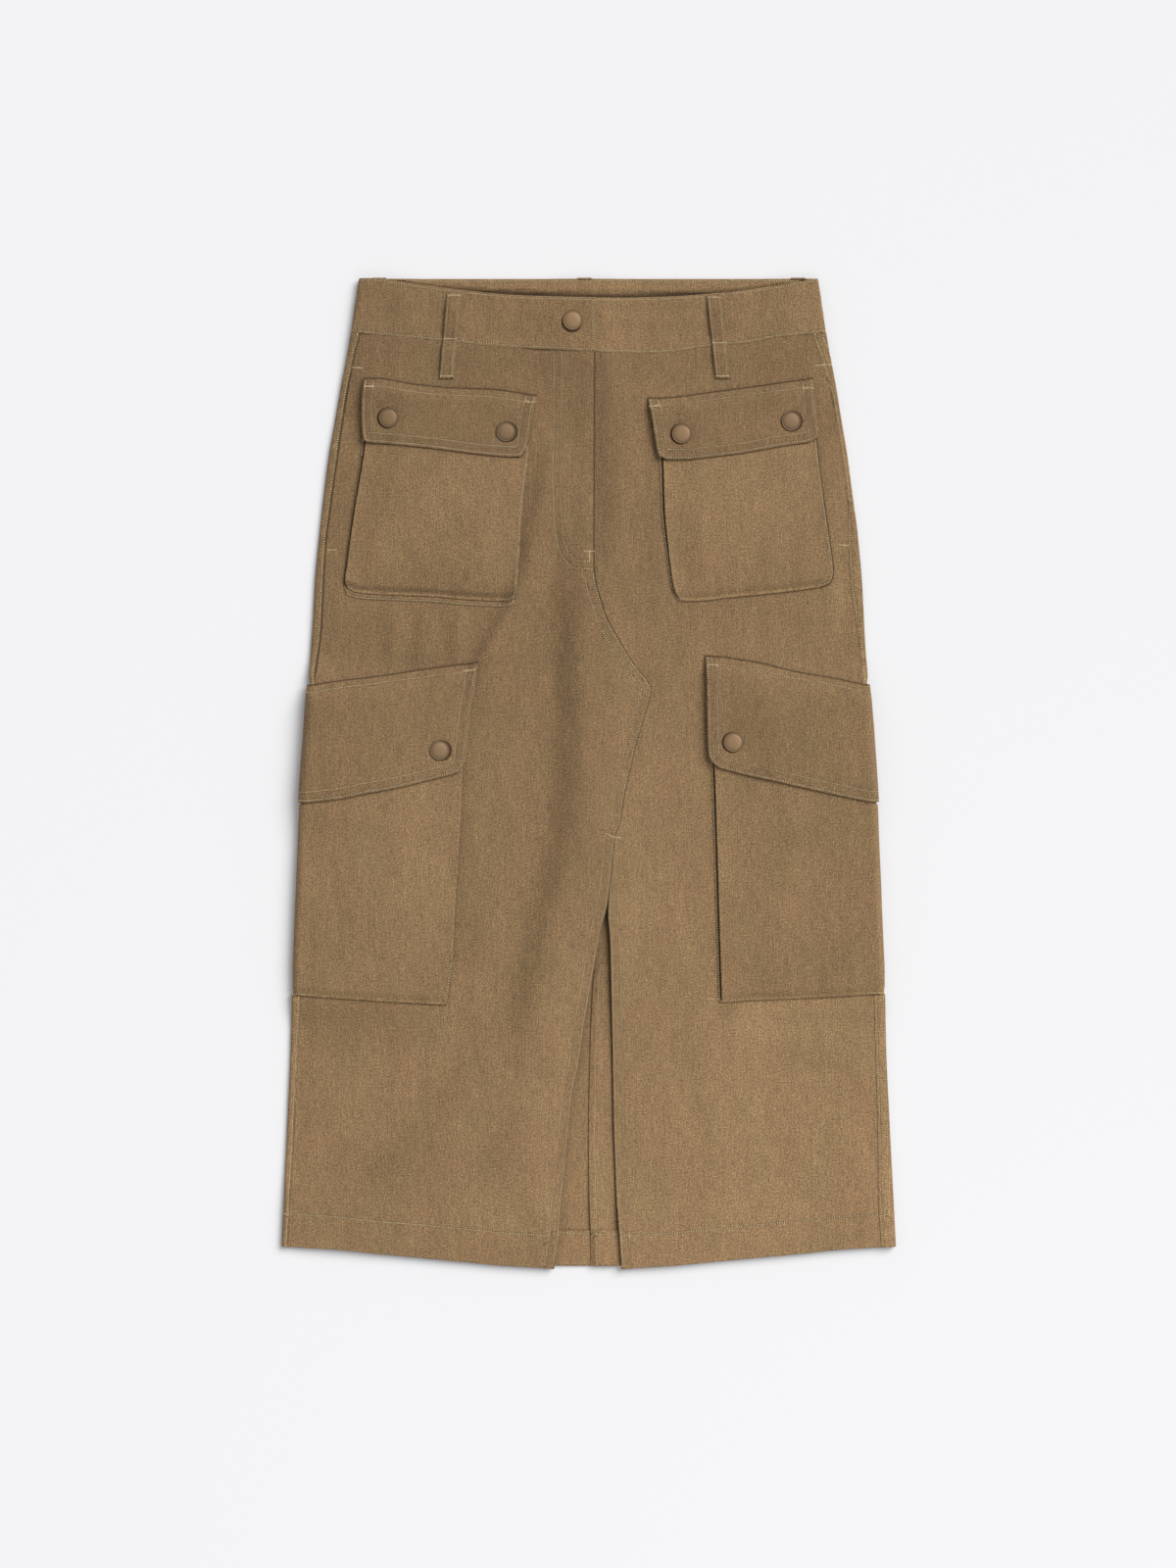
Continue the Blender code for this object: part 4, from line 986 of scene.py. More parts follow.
# a hip pocket's grid, its puff, and the painted light and shade of its face
hipLooks = {
    "width": 128, "height": 148, "step": 2.4, "flapHigh": 52, "flapStep": 2.2, "flapRun": 11,
    "puffRun": 30.0, "puff": 3.0, "light": 0.04, "lightUp": (25, 75), "dark": 0.10,
    "darkUp": ((16, 4), (1.6, 3.4)), "lip": 0.14, "lipUp": (2.8, 1.2),
    "hollow": {"left": 0.16, "right": 0.0}, "hollowUp": 4.2, "hollowRun": (3.2, 0.6), "streak": 0.06,
    "streakAt": (-88, 603), "streakLean": (0.75, 0.66), "streakRun": (28, 5), "streakBase": 0.025,
    "rightTone": 0.02, "flapCrease": 1.7, "creaseGap": 0.15, "topCrease": 37,
}


def makeHipPocket(side):
    face, flap, looks = hipFaces[side], hipFlaps[side], hipLooks

    def rise(x, up):
        height = puff(face, x, up, looks["puffRun"], looks["puff"])
        return height * ramp(curve(face["right"], up) - x, 0, looks["puffRun"])

    def faceTop(x, up):
        return faceHeight(face, x, x, up, rise(x, up))

    def flapTop(x, up):
        below = curve(flap["top"], x) - up
        stack = (pocketStack + pockets["flapPuff"] * rise(x, up)) * ramp(below, 0, looks["flapRun"])
        return flapHeight(x, up, stack)

    us, vs = spread(looks["width"], looks["step"]), spread(looks["height"], looks["step"])
    columns, cells = len(us) - 1, gusset["cells"]
    plan = patchGrid(grown(face), us, vs)
    name = f"hip_pocket_{side}"
    points, wall = flange(onTop(plan, onBody))
    clothPiece(name + "_gusset", points, plan, wall, free="lrb",
               creaseShadow=underEdge(face, "left", plan[..., 0], plan[..., 1], gusset["low"][side]),
               keep=lambda i, j: i < cells or i >= columns - cells or j < cells)
    plan = patchGrid(face, us, vs)
    x, up = plan[..., 0], plan[..., 1]
    above = up - curve(face["bottom"], x)
    # painted light higher up and on a lip along the bottom, painted shade low on the face and in a hollow
    # above the lip
    far, near = looks["darkUp"]
    shade = 1 + looks["light"] * ramp(above, *looks["lightUp"])
    shade = shade - looks["dark"] * ramp(above, *far) * ramp(above, *near)
    shade = shade + looks["lip"] * ramp(above, *looks["lipUp"])
    shade = shade - looks["hollow"][side] * ramp(np.abs(above - looks["hollowUp"]), *looks["hollowRun"])
    # painted shadow below the flap
    creaseShadow = looks["flapCrease"] * underFlap(flap, "right", 1, x, up) + looks["creaseGap"]
    if side == "left":
        # a soft painted light streak runs across it
        (middleX, middleHigh), (leanX, leanUp) = looks["streakAt"], looks["streakLean"]
        slant = leanX * (x - middleX) - leanUp * (up - middleHigh)
        shade = shade + looks["streak"] * ramp(np.abs(slant), *looks["streakRun"]) - looks["streakBase"]
    else:
        # stitched down close to its outer edge, with painted shade along that edge, and painted a little
        # lighter
        shade = shade + looks["rightTone"]
        creaseShadow = np.minimum(creaseShadow, curve(face["right"], up) - x)
    clothPiece(name, onTop(plan, faceTop), plan, cloth, shade=shade, creaseShadow=creaseShadow)
    rows = spread(looks["flapHigh"], looks["flapStep"])
    plan = patchGrid(flap, us, rows)
    # painted shadow along the flap's top edge and round its caps
    creaseShadow = np.minimum(looks["topCrease"] * (1 - rows[:, None]), capRing(plan[..., 0], plan[..., 1]))
    clothPiece(name + "_flap", onTop(plan, flapTop), plan, body["flap"], creaseShadow=creaseShadow)


def cargoPlan(piece, backSpan, backLow, backHigh, reveal=0.0):
    def plan(run, share, v):
        up = mix(piece["bottom"][-1][1], piece["top"][-1][1], v) + 0 * share
        for _ in range(5):
            axis = foldAxis(up)
            if run == "front":
                out = mix(curve(piece["inner"], up) - reveal, axis, share)
                up = mix(curve(piece["bottom"], out), curve(piece["top"], out), v)
            else:
                reach = backSpan * share
                out = axis - reach
                up = mix(backLow(reach), backHigh(reach), v)
        return out, up

    return plan


# a cargo pocket's grid, its puff, and the painted light and shade of its face
cargoLooks = {
    "width": 118, "backWidth": 52, "height": 222, "step": 2.6, "flapEdgeRows": (0.628, 0.674, 14),
    "backCells": 10, "flapWidth": 124, "flapBack": 57, "flapHigh": 90, "flapStep": 2.2, "flapRun": 15,
    "bottomRun": 16, "puffRun": 26.0, "puff": 1.2, "lyingRun": (3, 14), "foldCrease": 9, "dark": 0.05,
    "darkUp": (280, 220), "lip": 0.07, "lipUp": (2.6, 1.0), "flapCrease": 2.0, "creaseGap": 0.45,
    "topCrease": 65,
}


def makeCargoPocket(side):
    sign, looks = sides[side], cargoLooks
    face, flap = cargoFaces[side], cargoFlaps[side]

    def pocketBottom(reach):
        return cargo["bottom"] + 0 * reach

    def mouth(reach):
        return flapTopBack(reach) - cargo["mouthBelow"]

    def gussetBottom(x, up):
        return liftOverFlap(x, up) + cloth + ease

    def rise(x, up):
        return puff(face, np.abs(x), up, looks["puffRun"], looks["puff"], "inner")

    def faceTop(x, up):
        return faceHeight(face, x, np.abs(x), up, rise(x, up))

    def flapTop(x, up):
        lying = ramp(curve(flap["top"], np.abs(x)) - up, 0, looks["flapRun"])
        stack = (pocketStack + cargo["mouthEase"]) * lying + pockets["flapPuff"] * rise(x, up) * lying
        return flapHeight(x, up, stack)

    def flapBottom(x, up):
        reach = foldAxis(up) - np.abs(x)
        return liftOverPocket(x, up) * ramp(flapTopBack(reach) - up, looks["bottomRun"], 0)

    front = spread(looks["width"], looks["step"], end=False)
    back = spread(looks["backWidth"], looks["step"], start=False)
    rows = np.concatenate((spread(looks["height"], looks["step"]), np.linspace(*looks["flapEdgeRows"])))
    rows = np.sort(rows)
    name = f"cargo_pocket_{side}"
    plan = cargoPlan(face, cargo["back"], pocketBottom, mouth, face["reveal"])
    points, flat = wrapGrid(side, plan, onBody, gussetBottom, front, back, rows)
    last, cells = points.shape[1] - 1, gusset["cells"]
    onFront = np.arange(last + 1) < len(front)
    lying = onFront * ramp(foldAxis(points[..., 1]) - np.abs(points[..., 0]), *looks["lyingRun"])
    points, wall = flange(points, lying)
    # painted shadow on the gusset beside the face's inner edge, none round the fold
    creaseShadow = underEdge(face, "inner", np.abs(points[..., 0]), points[..., 1], gusset["low"][side])
    clothPiece(name + "_gusset", points, flat, wall, handed=sign, free="lrb",
               creaseShadow=mix(looks["foldCrease"], creaseShadow, lying),
               keep=lambda i, j: i < cells or i >= last - looks["backCells"] or j < cells)
    plan = cargoPlan(face, cargo["back"], pocketBottom, mouth)
    points, flat = wrapGrid(side, plan, faceTop, liftOverFlap, front, back, rows)
    out, up = np.abs(points[..., 0]), points[..., 1]
    # painted shadow below the flap, painted light on the lip at the bottom and painted shade lower down
    creaseShadow = looks["flapCrease"] * underFlap(flap, "inner", -1, out, up) + looks["creaseGap"]
    lip = looks["lip"] * ramp(up - curve(face["bottom"], out), *looks["lipUp"])
    shade = 1 - looks["dark"] * ramp(up, *looks["darkUp"]) + lip
    clothPiece(name, points, flat, cloth, handed=sign, shade=shade, creaseShadow=creaseShadow)
    front = spread(looks["flapWidth"], looks["step"], end=False)
    back = spread(looks["flapBack"], looks["step"], start=False)
    rows = spread(looks["flapHigh"], looks["flapStep"])
    plan = cargoPlan(flap, cargo["flapBack"], flapBottomBack, flapTopBack)
    points, flat = wrapGrid(side, plan, flapTop, flapBottom, front, back, rows)
    # painted shadow along the flap's top edge and round its cap
    creaseShadow = np.minimum(looks["topCrease"] * (1 - rows[:, None]), capRing(points[..., 0], points[..., 1]))
    clothPiece(name + "_flap", points, flat, body["flap"], handed=sign, creaseShadow=creaseShadow)


for side in sides:
    makeHipPocket(side)
    makeCargoPocket(side)
print("pockets made")

# straps of the belt loops: shares of their length along which the front ones bow up, and the fold
# of the back ones over the top edge as (up, height)
strap = {
    "step": 1.2, "rowStep": 1.6, "bow": 1.5, "lowerBow": 0.7, "lower": ((0.03, 0.16), (0.4, 0.3)),
    "upper": ((0.44, 0.6), (0.98, 0.8)), "rib": 0.12, "ribRun": (0.25, 0.5), "lift": 0.15, "seamRun": (12, 3),
    "backRows": 40, "foldFrom": 2.5, "backThin": 0.2,
    "fold": ((-1.0, 0.0), (0.2, 0.25), (0.7, 1.3), (0.8, 2.6), (0.6, 3.9), (0.0, 4.7), (-0.7, 5.0)),
}


def bowed(v, rise, fall):
    return ramp(v, *rise) * ramp(v, *fall)


def makeFrontLoop(side):
    lowX, highX, highUp = loops["front"][side]
    rows = spread(highUp - loops["bottom"], strap["rowStep"])
    u, v = np.meshgrid(spread(loops["width"], strap["step"]), rows)
    up = mix(loops["bottom"], highUp, v)
    x = mix(lowX, highX, v) + (u - 0.5) * loops["width"]
    seam = curve(band["seam"], x)
    far, near = strap["seamRun"]
    panel, top = bodyTop(x, np.minimum(up, seam - 2)), bandTop(x, np.maximum(up, seam))
    base = mix(panel, top, ramp(up, seam - far, seam - near))
    bow = strap["bow"] * (strap["lowerBow"] * bowed(v, *strap["lower"]) + bowed(v, *strap["upper"]))
    rib = strap["rib"] * ramp(np.abs(u - 0.5), *strap["ribRun"])
    points = joined(x, up, base + strap["lift"] + bow - rib + body["loop"])
    clothPiece(f"belt_loop_front_{side}", points, points[..., :2], body["loop"])


def makeBackLoop(place):
    middle = loops["back"][place]
    fold = np.array(strap["fold"])
    straight = np.linspace(loops["bottom"], body["length"] - strap["foldFrom"], strap["backRows"])
    up = np.concatenate((straight, body["length"] + fold[:, 0]))
    height = np.concatenate((0 * straight, fold[:, 1]))
    run = runAlong(np.stack((up, height), -1))
    x = middle + (0.5 - spread(loops["width"], strap["step"])[None, :]) * loops["width"] + 0 * up[:, None]
    flat = joined(x, loops["bottom"] + run[:, None])
    points = joined(x, up[:, None], height[:, None])
    clothPiece(f"belt_loop_back_{place}", points, flat, body["loop"] - strap["backThin"])


for side in sides:
    makeFrontLoop(side)
for place in loops["back"]:
    makeBackLoop(place)
print("belt loops made")


def meshTree(names):
    corners, faces = [], []
    for name in names:
        mesh = pieces[name].data
        faces += [[len(corners) + v for v in face.vertices] for face in mesh.polygons]
        corners += [v.co[:] for v in mesh.vertices]
    return BVHTree.FromPolygons(corners, faces)


trees = {name: meshTree([name]) for name in pieces}
allCloth = meshTree(list(pieces))

# sewing: rows of single stitches laid on the cloth, and bartacks of close stitches across a bar
sewing = {"pitch": 1.8, "long": 0.98, "wide": 1.0, "high": 0.55, "proud": 0.11, "step": 1.4, "hidden": 0.7,
          "probe": 60.0, "seatReach": 5.0, "seatNear": 0.6, "lookFrom": 30.0, "inside": 0.975,
          "reach": 12.0, "away": 9.0, "nearRun": (6.0, 1.5)}
tacks = {"pitch": 0.85, "wide": 1.4, "thick": 0.6, "lean": 0.12}
stitchMesh = bpy.data.meshes.new("stitch")
bm = bmesh.new()
bmesh.ops.create_icosphere(bm, subdivisions=1, radius=0.5)
bm.to_mesh(stitchMesh)
bm.free()
threadWork = {}
seamLines = {}


def toWorld(point):
    return Vector((point[0] * mm, (point[1] - middleUp) * mm, point[2] * mm))


def fromWorld(point):
    return np.array((point[0] / mm, point[1] / mm + middleUp, point[2] / mm))


def seated(name, path, guess=None):
    # the points of a path brought onto a piece's outer face, with its normals there
    places, normals = [], []
    for row, point in enumerate(path):
        outward = np.array((0, 0, 1.0)) if guess is None else guess[row]
        reach = sewing["seatReach"]
        found = trees[name].ray_cast(toWorld(point + reach * outward), -Vector(outward), 2 * reach * mm)
        if not found[0]:
            found = trees[name].find_nearest(toWorld(point + sewing["seatNear"] * outward))
        places.append(fromWorld(found[0]))
        normals.append(np.array(found[1]))
    return np.array(places), np.array(normals)


def evenly(path, step, shift=0.0):
    # points at even distances along a path
    run = runAlong(path)
    count = max(2, round(run[-1] / step))
    at = (np.arange(count) + shift) * run[-1] / count if shift else np.linspace(0, run[-1], count + 1)
    return atRuns(path, run, at)


def sideways(path, normals):
    ahead = np.gradient(path, axis=0)
    across = np.cross(normals, ahead)
    return across / np.maximum(np.linalg.norm(across, axis=1, keepdims=True), 1e-9)


def seen(place, normal):
    # nothing lies over this place
    far = sewing["lookFrom"]
    start = toWorld(place + far * normal)
    hit = allCloth.ray_cast(start, -Vector(normal), 2 * far * mm)
    return hit[0] is None or (hit[0] - start).length > (far - sewing["hidden"]) * mm


def addStitch(group, place, ahead, normal, size):
    ahead = Vector(ahead - normal * np.dot(ahead, normal)).normalized()
    up = Vector(normal).normalized()
    side = up.cross(ahead)
    turn = Matrix((ahead, side, up)).transposed().to_4x4()
    middle = toWorld(place + normal * sewing["proud"])
    copy = stitchMesh.copy()
    grow = Matrix.Diagonal((*(length * mm for length in size), 1))
    copy.transform(Matrix.Translation(middle) @ turn @ grow)
    threadWork.setdefault(group, bmesh.new()).from_mesh(copy)
    bpy.data.meshes.remove(copy)


def sewRow(group, name, path, normals):
    middles, ends = evenly(path, sewing["pitch"], 0.5), evenly(path, sewing["pitch"])
    run = runAlong(path)
    guess = atRuns(normals, run, (np.arange(len(middles)) + 0.5) * run[-1] / len(middles))
    places, normals = seated(name, middles, guess)
    for place, start, end, normal in zip(places, ends, ends[1:], normals):
        if seen(place, normal):
            addStitch(group, place, end - start, normal, (sewing["long"], sewing["wide"], sewing["high"]))


def rowShifts(gap):
    # one row on the line, or two rows a gap apart on either side of it
    return (-gap / 2, gap / 2) if gap else (0.0,)


def outline(name, edges):
    # the outer face's rim along the given edges, against the clock as seen on the upper face
    points, normal, handed = surfaces[name]
    runs = {"l": (slice(None, None, -1), 0), "b": (0, slice(None)),
            "r": (slice(None), -1), "t": (-1, slice(None, None, -1))}
    path = np.concatenate([points[runs[edge]] for edge in edges])
    normals = np.concatenate([normal[runs[edge]] for edge in edges])
    keep = np.concatenate(((True,), np.linalg.norm(np.diff(path, axis=0), axis=1) > 1e-6))
    return path[keep], normals[keep], handed


def insetPath(name, edges, inset, clear=1.0, low=-1e3, high=1e3):
    # a path at a distance inside the rim, kept clear of the piece's other edges
    rim, normals, handed = outline(name, edges)
    run = runAlong(rim)
    at = np.linspace(0, run[-1], max(3, round(run[-1] / sewing["step"])))
    path, normals = atRuns(rim, run, at), atRuns(normals, run, at)
    normals /= np.linalg.norm(normals, axis=1, keepdims=True)
    moved = path + handed * sideways(path, normals) * inset
    moved, normals = seated(name, moved, normals)

    def away(points, line):
        return np.min(np.linalg.norm(points[:, None] - line[None], axis=2), axis=1)

    keep = away(moved, path) > sewing["inside"] * inset
    for edge in "lbrt":
        if edge not in edges:
            keep &= away(moved, evenly(outline(name, edge)[0], 1.5)) > clear
    keep &= (moved[:, 1] > low) & (moved[:, 1] < high)
    return moved[keep], normals[keep]


def sewInside(group, name, edges, inset, gap=0.0, **limits):
    # rows inside the rim; the cloth remembers the line midway between them
    path, normals = insetPath(name, edges, inset, **limits)
    seamLines.setdefault(name, []).append((path, sideways(path, normals), normals, gap / 2))
    for shift in rowShifts(gap):
        row, rowNormals = insetPath(name, edges, inset + shift, **limits)
        if len(row) > 3:
            sewRow(group, name, row, rowNormals)


def met(tree, x, up, below):
    # where a line straight down, or straight up from below, meets a tree
    way = 1 if below else -1
    return tree.ray_cast(toWorld((x, up, -sewing["probe"] * way)), Vector((0, 0, way)))


def onPiece(name, plan, below=False):
    # plan is (x, up); the points are found on the piece from above or from below
    plan = evenly(np.array([(x, up, 0.0) for x, up in plan]), sewing["step"])
    hits = [met(trees[name], x, up, below)[0] for x, up, _ in plan]
    path = [fromWorld(hit) for hit in hits if hit]
    return np.array(path), np.tile((0, 0, -1.0 if below else 1.0), (len(path), 1))


def sewAlong(group, name, plan, gap=0.0, below=False):
    # rows along a line given as (x, up)
    path, guess = onPiece(name, plan, below)
    if len(path) < 4:
        return
    places, normals = seated(name, path, guess)
    across = sideways(places, normals)
    seamLines.setdefault(name, []).append((places, across, normals, gap / 2))
    for shift in rowShifts(gap):
        row, rowNormals = seated(name, places + across * shift, normals)
        sewRow(group, name, row, rowNormals)


def bar(group, x0, up0, x1, up1, wide=None, below=False):
    # a short bar of close stitches across its length
    count = max(4, round(math.hypot(x1 - x0, up1 - up0) / tacks["pitch"]))
    along = np.array((x1 - x0, up1 - up0, 0.0))
    across = np.array((-along[1], along[0], 0.0))
    for k in range(count + 1):
        x, up = mix(x0, x1, k / count), mix(up0, up1, k / count)
        hit = met(allCloth, x, up, below)
        if hit[0]:
            lean = across + along * (tacks["lean"] if k % 2 else -tacks["lean"])
            size = (wide or tacks["wide"], tacks["thick"], tacks["thick"])
            addStitch(group, fromWorld(hit[0]), lean, np.array(hit[1]), size)


def sewWaistband():
    group, inset = "stitches_waistband", 1.8
    for side, edges in {"left": "tlb", "right": "t"}.items():
        sewInside(group, f"waistband_front_{side}", edges, inset=1.7)
    sewInside(group, "waistband_front_right", "b", inset=1.7)
    sewInside(group, "waistband_back", "t", inset=inset)
    for up in (body["bandSeam"] + inset, body["length"] - inset):
        sewAlong(group, "waistband_back", [(x, up) for x in np.linspace(-168, 168, 60)], below=True)


# the fly's curved line of stitches as x, up
fly = (
    (-23, 692), (-23.2, 645), (-23.9, 608), (-23.4, 575), (-21.8, 553), (-18.5, 541), (-14.6, 535),
    (-8.5, 531), (3.4, 530),
)


def sewFronts():
    x, up = (curve(list(enumerate(values)), np.linspace(0, len(fly) - 1, 60)) for values in zip(*fly))
    sewAlong("stitches_fly", "front_panel_left", zip(x, up), gap=5.6)
    sewInside("stitches_slit", "front_panel_left", "l", inset=4.5, gap=6.2, high=526)
    sewInside("stitches_slit", "front_panel_right", "l", inset=4.4, gap=6.0, high=330)
    for side in sides:
        sewInside("stitches_hem", f"front_panel_{side}", "b", inset=body["hemTurn"] - 1.6)


def sewBacks():
    for side in sides:
        name = f"back_panel_{side}"
        sewInside(f"stitches_side_{side}", name, "l", inset=4.3, gap=5.4)
        sewInside("stitches_hem", name, "b", inset=body["hemTurn"] - 1.6, clear=2)
    sewInside("stitches_back_seam", "back_panel_left", "r", inset=4.4, gap=6.0)
    sewAlong("stitches_back_seam", "back_panel_right", [(x + 4.4, up) for up, x in body["backSeam"][:-1]])
    # the turn-up's edge as it shows inside, in the slit
    turn = turnEnd - 17
    sewAlong("stitches_hem", "back_panel_right", ((3, turn), (24, turn)))
    sewAlong("stitches_hem", "back_panel_left", ((-24, turn + 1), (1, turn)))


def sewHipPocket(side):
    name, group = f"hip_pocket_{side}", f"stitches_hip_pocket_{side}"
    if side == "left":
        # low down the face hides the row on this side
        sewInside(group, name + "_gusset", "l", inset=1.0, low=612)
        sewInside(group, name + "_gusset", "br", inset=1.0)
    else:
        sewInside(group, name + "_gusset", "lbr", inset=1.0)
    sewInside(group, name, "r", inset=1.3 if side == "left" else 1.5)
    sewInside(group, name + "_flap", "lbr", inset=4.7, gap=5.8, clear=1.0)
    sewInside(group, name + "_flap", "t", inset=6.8, clear=1.5)


def sewCargoPocket(side):
    name, group = f"cargo_pocket_{side}", f"stitches_cargo_pocket_{side}"
    sewInside(group, name + "_gusset", "lbr", inset=0.9)
    sewInside(group, name + "_flap", "lbr", inset=4.9, gap=6.2, clear=1.0)
    sewInside(group, name + "_flap", "t", inset=6.4, clear=1.5)
    if side == "left":
        sewInside(group, name, "l", inset=1.5, high=232)


def sewLoops():
    group = "stitches_belt_loops"
    half = loops["width"] / 2 - 0.9
    for side, (lowX, highX, highUp) in loops["front"].items():
        for edge in "lr":
            sewInside(group, f"belt_loop_front_{side}", edge, inset=1.7, clear=1.2)
        low, seam = loops["bottom"], float(curve(band["seam"], lowX)) + 2
        for up in (low + 1.8, seam, highUp - 1.6):
            middle = mix(lowX, highX, (up - low) / (highUp - low))
            bar(group, middle - half, up, middle + half, up)
    for place, middle in loops["back"].items():
        for edge in "lr":
            sewInside(group, f"belt_loop_back_{place}", edge, inset=1.7, clear=1.2, high=body["length"] - 1)
        for up in (loops["bottom"] + 1.8, body["bandSeam"], body["length"] - 3):
            bar(group, middle - half, up, middle + half, up, below=True)


# bartacks: x and up of both ends, and the stitches' width where it isn't the usual one
barTacks = {
    "stitches_fly": ((-3.2, 541, 4.2, 541), (0.4, 533, 0.4, 540.5)),
    "stitches_slit": ((13.4, 328.4, 18, 326), (18, 326, 24, 325.4)),
    "stitches_side_left": ((-178.0, 679.9, -170.6, 679.4), (-196.5, 542.2, -190.5, 542.6)),
    "stitches_side_right": ((170.2, 681.2, 183.2, 682.0), (189.0, 546.1, 196.2, 545.6)),
    "stitches_hip_pocket_left": ((-169.2, 665.1, -161.7, 664.8), (-47.7, 654.2, -40.6, 653.2)),
    "stitches_hip_pocket_right": ((46.0, 650.2, 53.4, 650.8), (162.0, 663.2, 169.6, 664.2)),
    "stitches_cargo_pocket_left": ((-94.6, 451.0, -85.2, 451.9),),
    "stitches_cargo_pocket_right": ((89.4, 455.8, 97.4, 455.0), (88.6, 203.4, 98.4, 203.6, 0.8)),
}

sewWaistband()
sewFronts()
sewBacks()
for side in sides:
    sewHipPocket(side)
    sewCargoPocket(side)
sewLoops()
for group, bars in barTacks.items():
    for ends in bars:
        bar(group, *ends)
for group, work in threadWork.items():
    mesh = meshFrom(work, group)
    mesh.shade_smooth()
    obj = inScene(group, mesh)
    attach(obj, "root")
    threadWork[group] = obj
    print(group, len(mesh.polygons) // 20, "stitches")


def markSeams(name):
    # every point learns how far it lies from the middle of its nearest seam
    mesh, reach = pieces[name].data, sewing["reach"]
    count = len(mesh.vertices)
    place = np.zeros(count * 3, np.float32)
    mesh.vertices.foreach_get("co", place)
    place = place.reshape(-1, 3) / mm + (0, middleUp, 0)
    offset, best = np.full(count, sewing["away"]), np.full(count, reach)
    half, near, run = np.zeros(count), np.zeros(count), np.zeros(count)
    for line, across, normals, halfGap in seamLines.get(name, ()):
        ahead, length = np.cross(across, normals), runAlong(line)
        far, close = (halfGap + distance for distance in sewing["nearRun"])
        tree = KDTree(len(line))
        for k, point in enumerate(line):
            tree.insert(Vector(point), k)
        tree.balance()
        inBox = (place > line.min(axis=0) - reach) & (place < line.max(axis=0) + reach)
        for k in np.nonzero(np.all(inBox, axis=1))[0]:
            _, nearest, distance = tree.find(Vector(place[k]))
            if distance < best[k]:
                best[k], half[k] = distance, halfGap
                offset[k] = np.dot(place[k] - line[nearest], across[nearest])
                run[k] = length[nearest] + np.dot(place[k] - line[nearest], ahead[nearest])
                near[k] = float(ramp(distance, far, close))
    for label, values in (("rowOffset", offset), ("rowHalf", half), ("rowNear", near), ("rowRun", run)):
        mark(mesh, label, values)


for name in pieces:
    markSeams(name)
print("stitchShade")


def makeSnap(name, carrier, x, up):
    place, normal = seated(carrier, np.array([(x, up, 20.0)]))
    bm = bmesh.new()
    rim = [bm.verts.new((radius * mm, 0, height * mm)) for radius, height in snaps["profile"]]
    edges = [bm.edges.new(pair) for pair in zip(rim, rim[1:])]
    bmesh.ops.spin(bm, geom=rim + edges, cent=(0, 0, 0), axis=(0, 0, 1), angle=math.tau, steps=snaps["steps"],
                   use_merge=True)
    bmesh.ops.remove_doubles(bm, verts=bm.verts, dist=0.00001)
    bmesh.ops.recalc_face_normals(bm, faces=bm.faces)
    radii = [math.hypot(vert.co.x, vert.co.y) / mm for vert in bm.verts]
    turn = Vector((0, 0, 1)).rotation_difference(Vector(normal[0])).to_matrix().to_4x4()
    seat = Matrix.Translation(toWorld(place[0] + snaps["seat"] * normal[0]))
    bmesh.ops.transform(bm, matrix=seat @ turn, verts=bm.verts)
    mesh = meshFrom(bm, name + "_cap")
    mesh.shade_smooth()
    mark(mesh, "radius", radii)
    # the cap's tone, a painted reflection
    mark(mesh, "toneAndPaintedLight", np.full(len(radii), tones[name]))
    obj = inScene(name + "_cap", mesh)
    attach(obj, "root")
    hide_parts(name)
    return obj


caps = [makeSnap("snap_waistband", "waistband_front_left", *snaps["waistband"])]
for side in sides:
    caps.append(makeSnap(f"snap_cargo_{side}", f"cargo_pocket_{side}_flap", *snaps["cargo"][side]))
    for place, (x, up) in snaps["hip"][side].items():
        caps.append(makeSnap(f"snap_hip_{side}_{place}", f"hip_pocket_{side}_flap", x, up))
print("snaps made")


class Shade:
    # a socket of a material that can be used in sums

    def __init__(self, finish, socket):
        self.finish, self.socket = finish, socket

    def __add__(self, other):
        return self.finish.maths("ADD", self, other)

    def __radd__(self, other):
        return self.finish.maths("ADD", other, self)

    def __sub__(self, other):
        return self.finish.maths("SUBTRACT", self, other)

    def __rsub__(self, other):
        return self.finish.maths("SUBTRACT", other, self)

    def __mul__(self, other):
        return self.finish.maths("MULTIPLY", self, other)

    def __rmul__(self, other):
        return self.finish.maths("MULTIPLY", other, self)

    def __abs__(self):
        return self.finish.maths("ABSOLUTE", self)


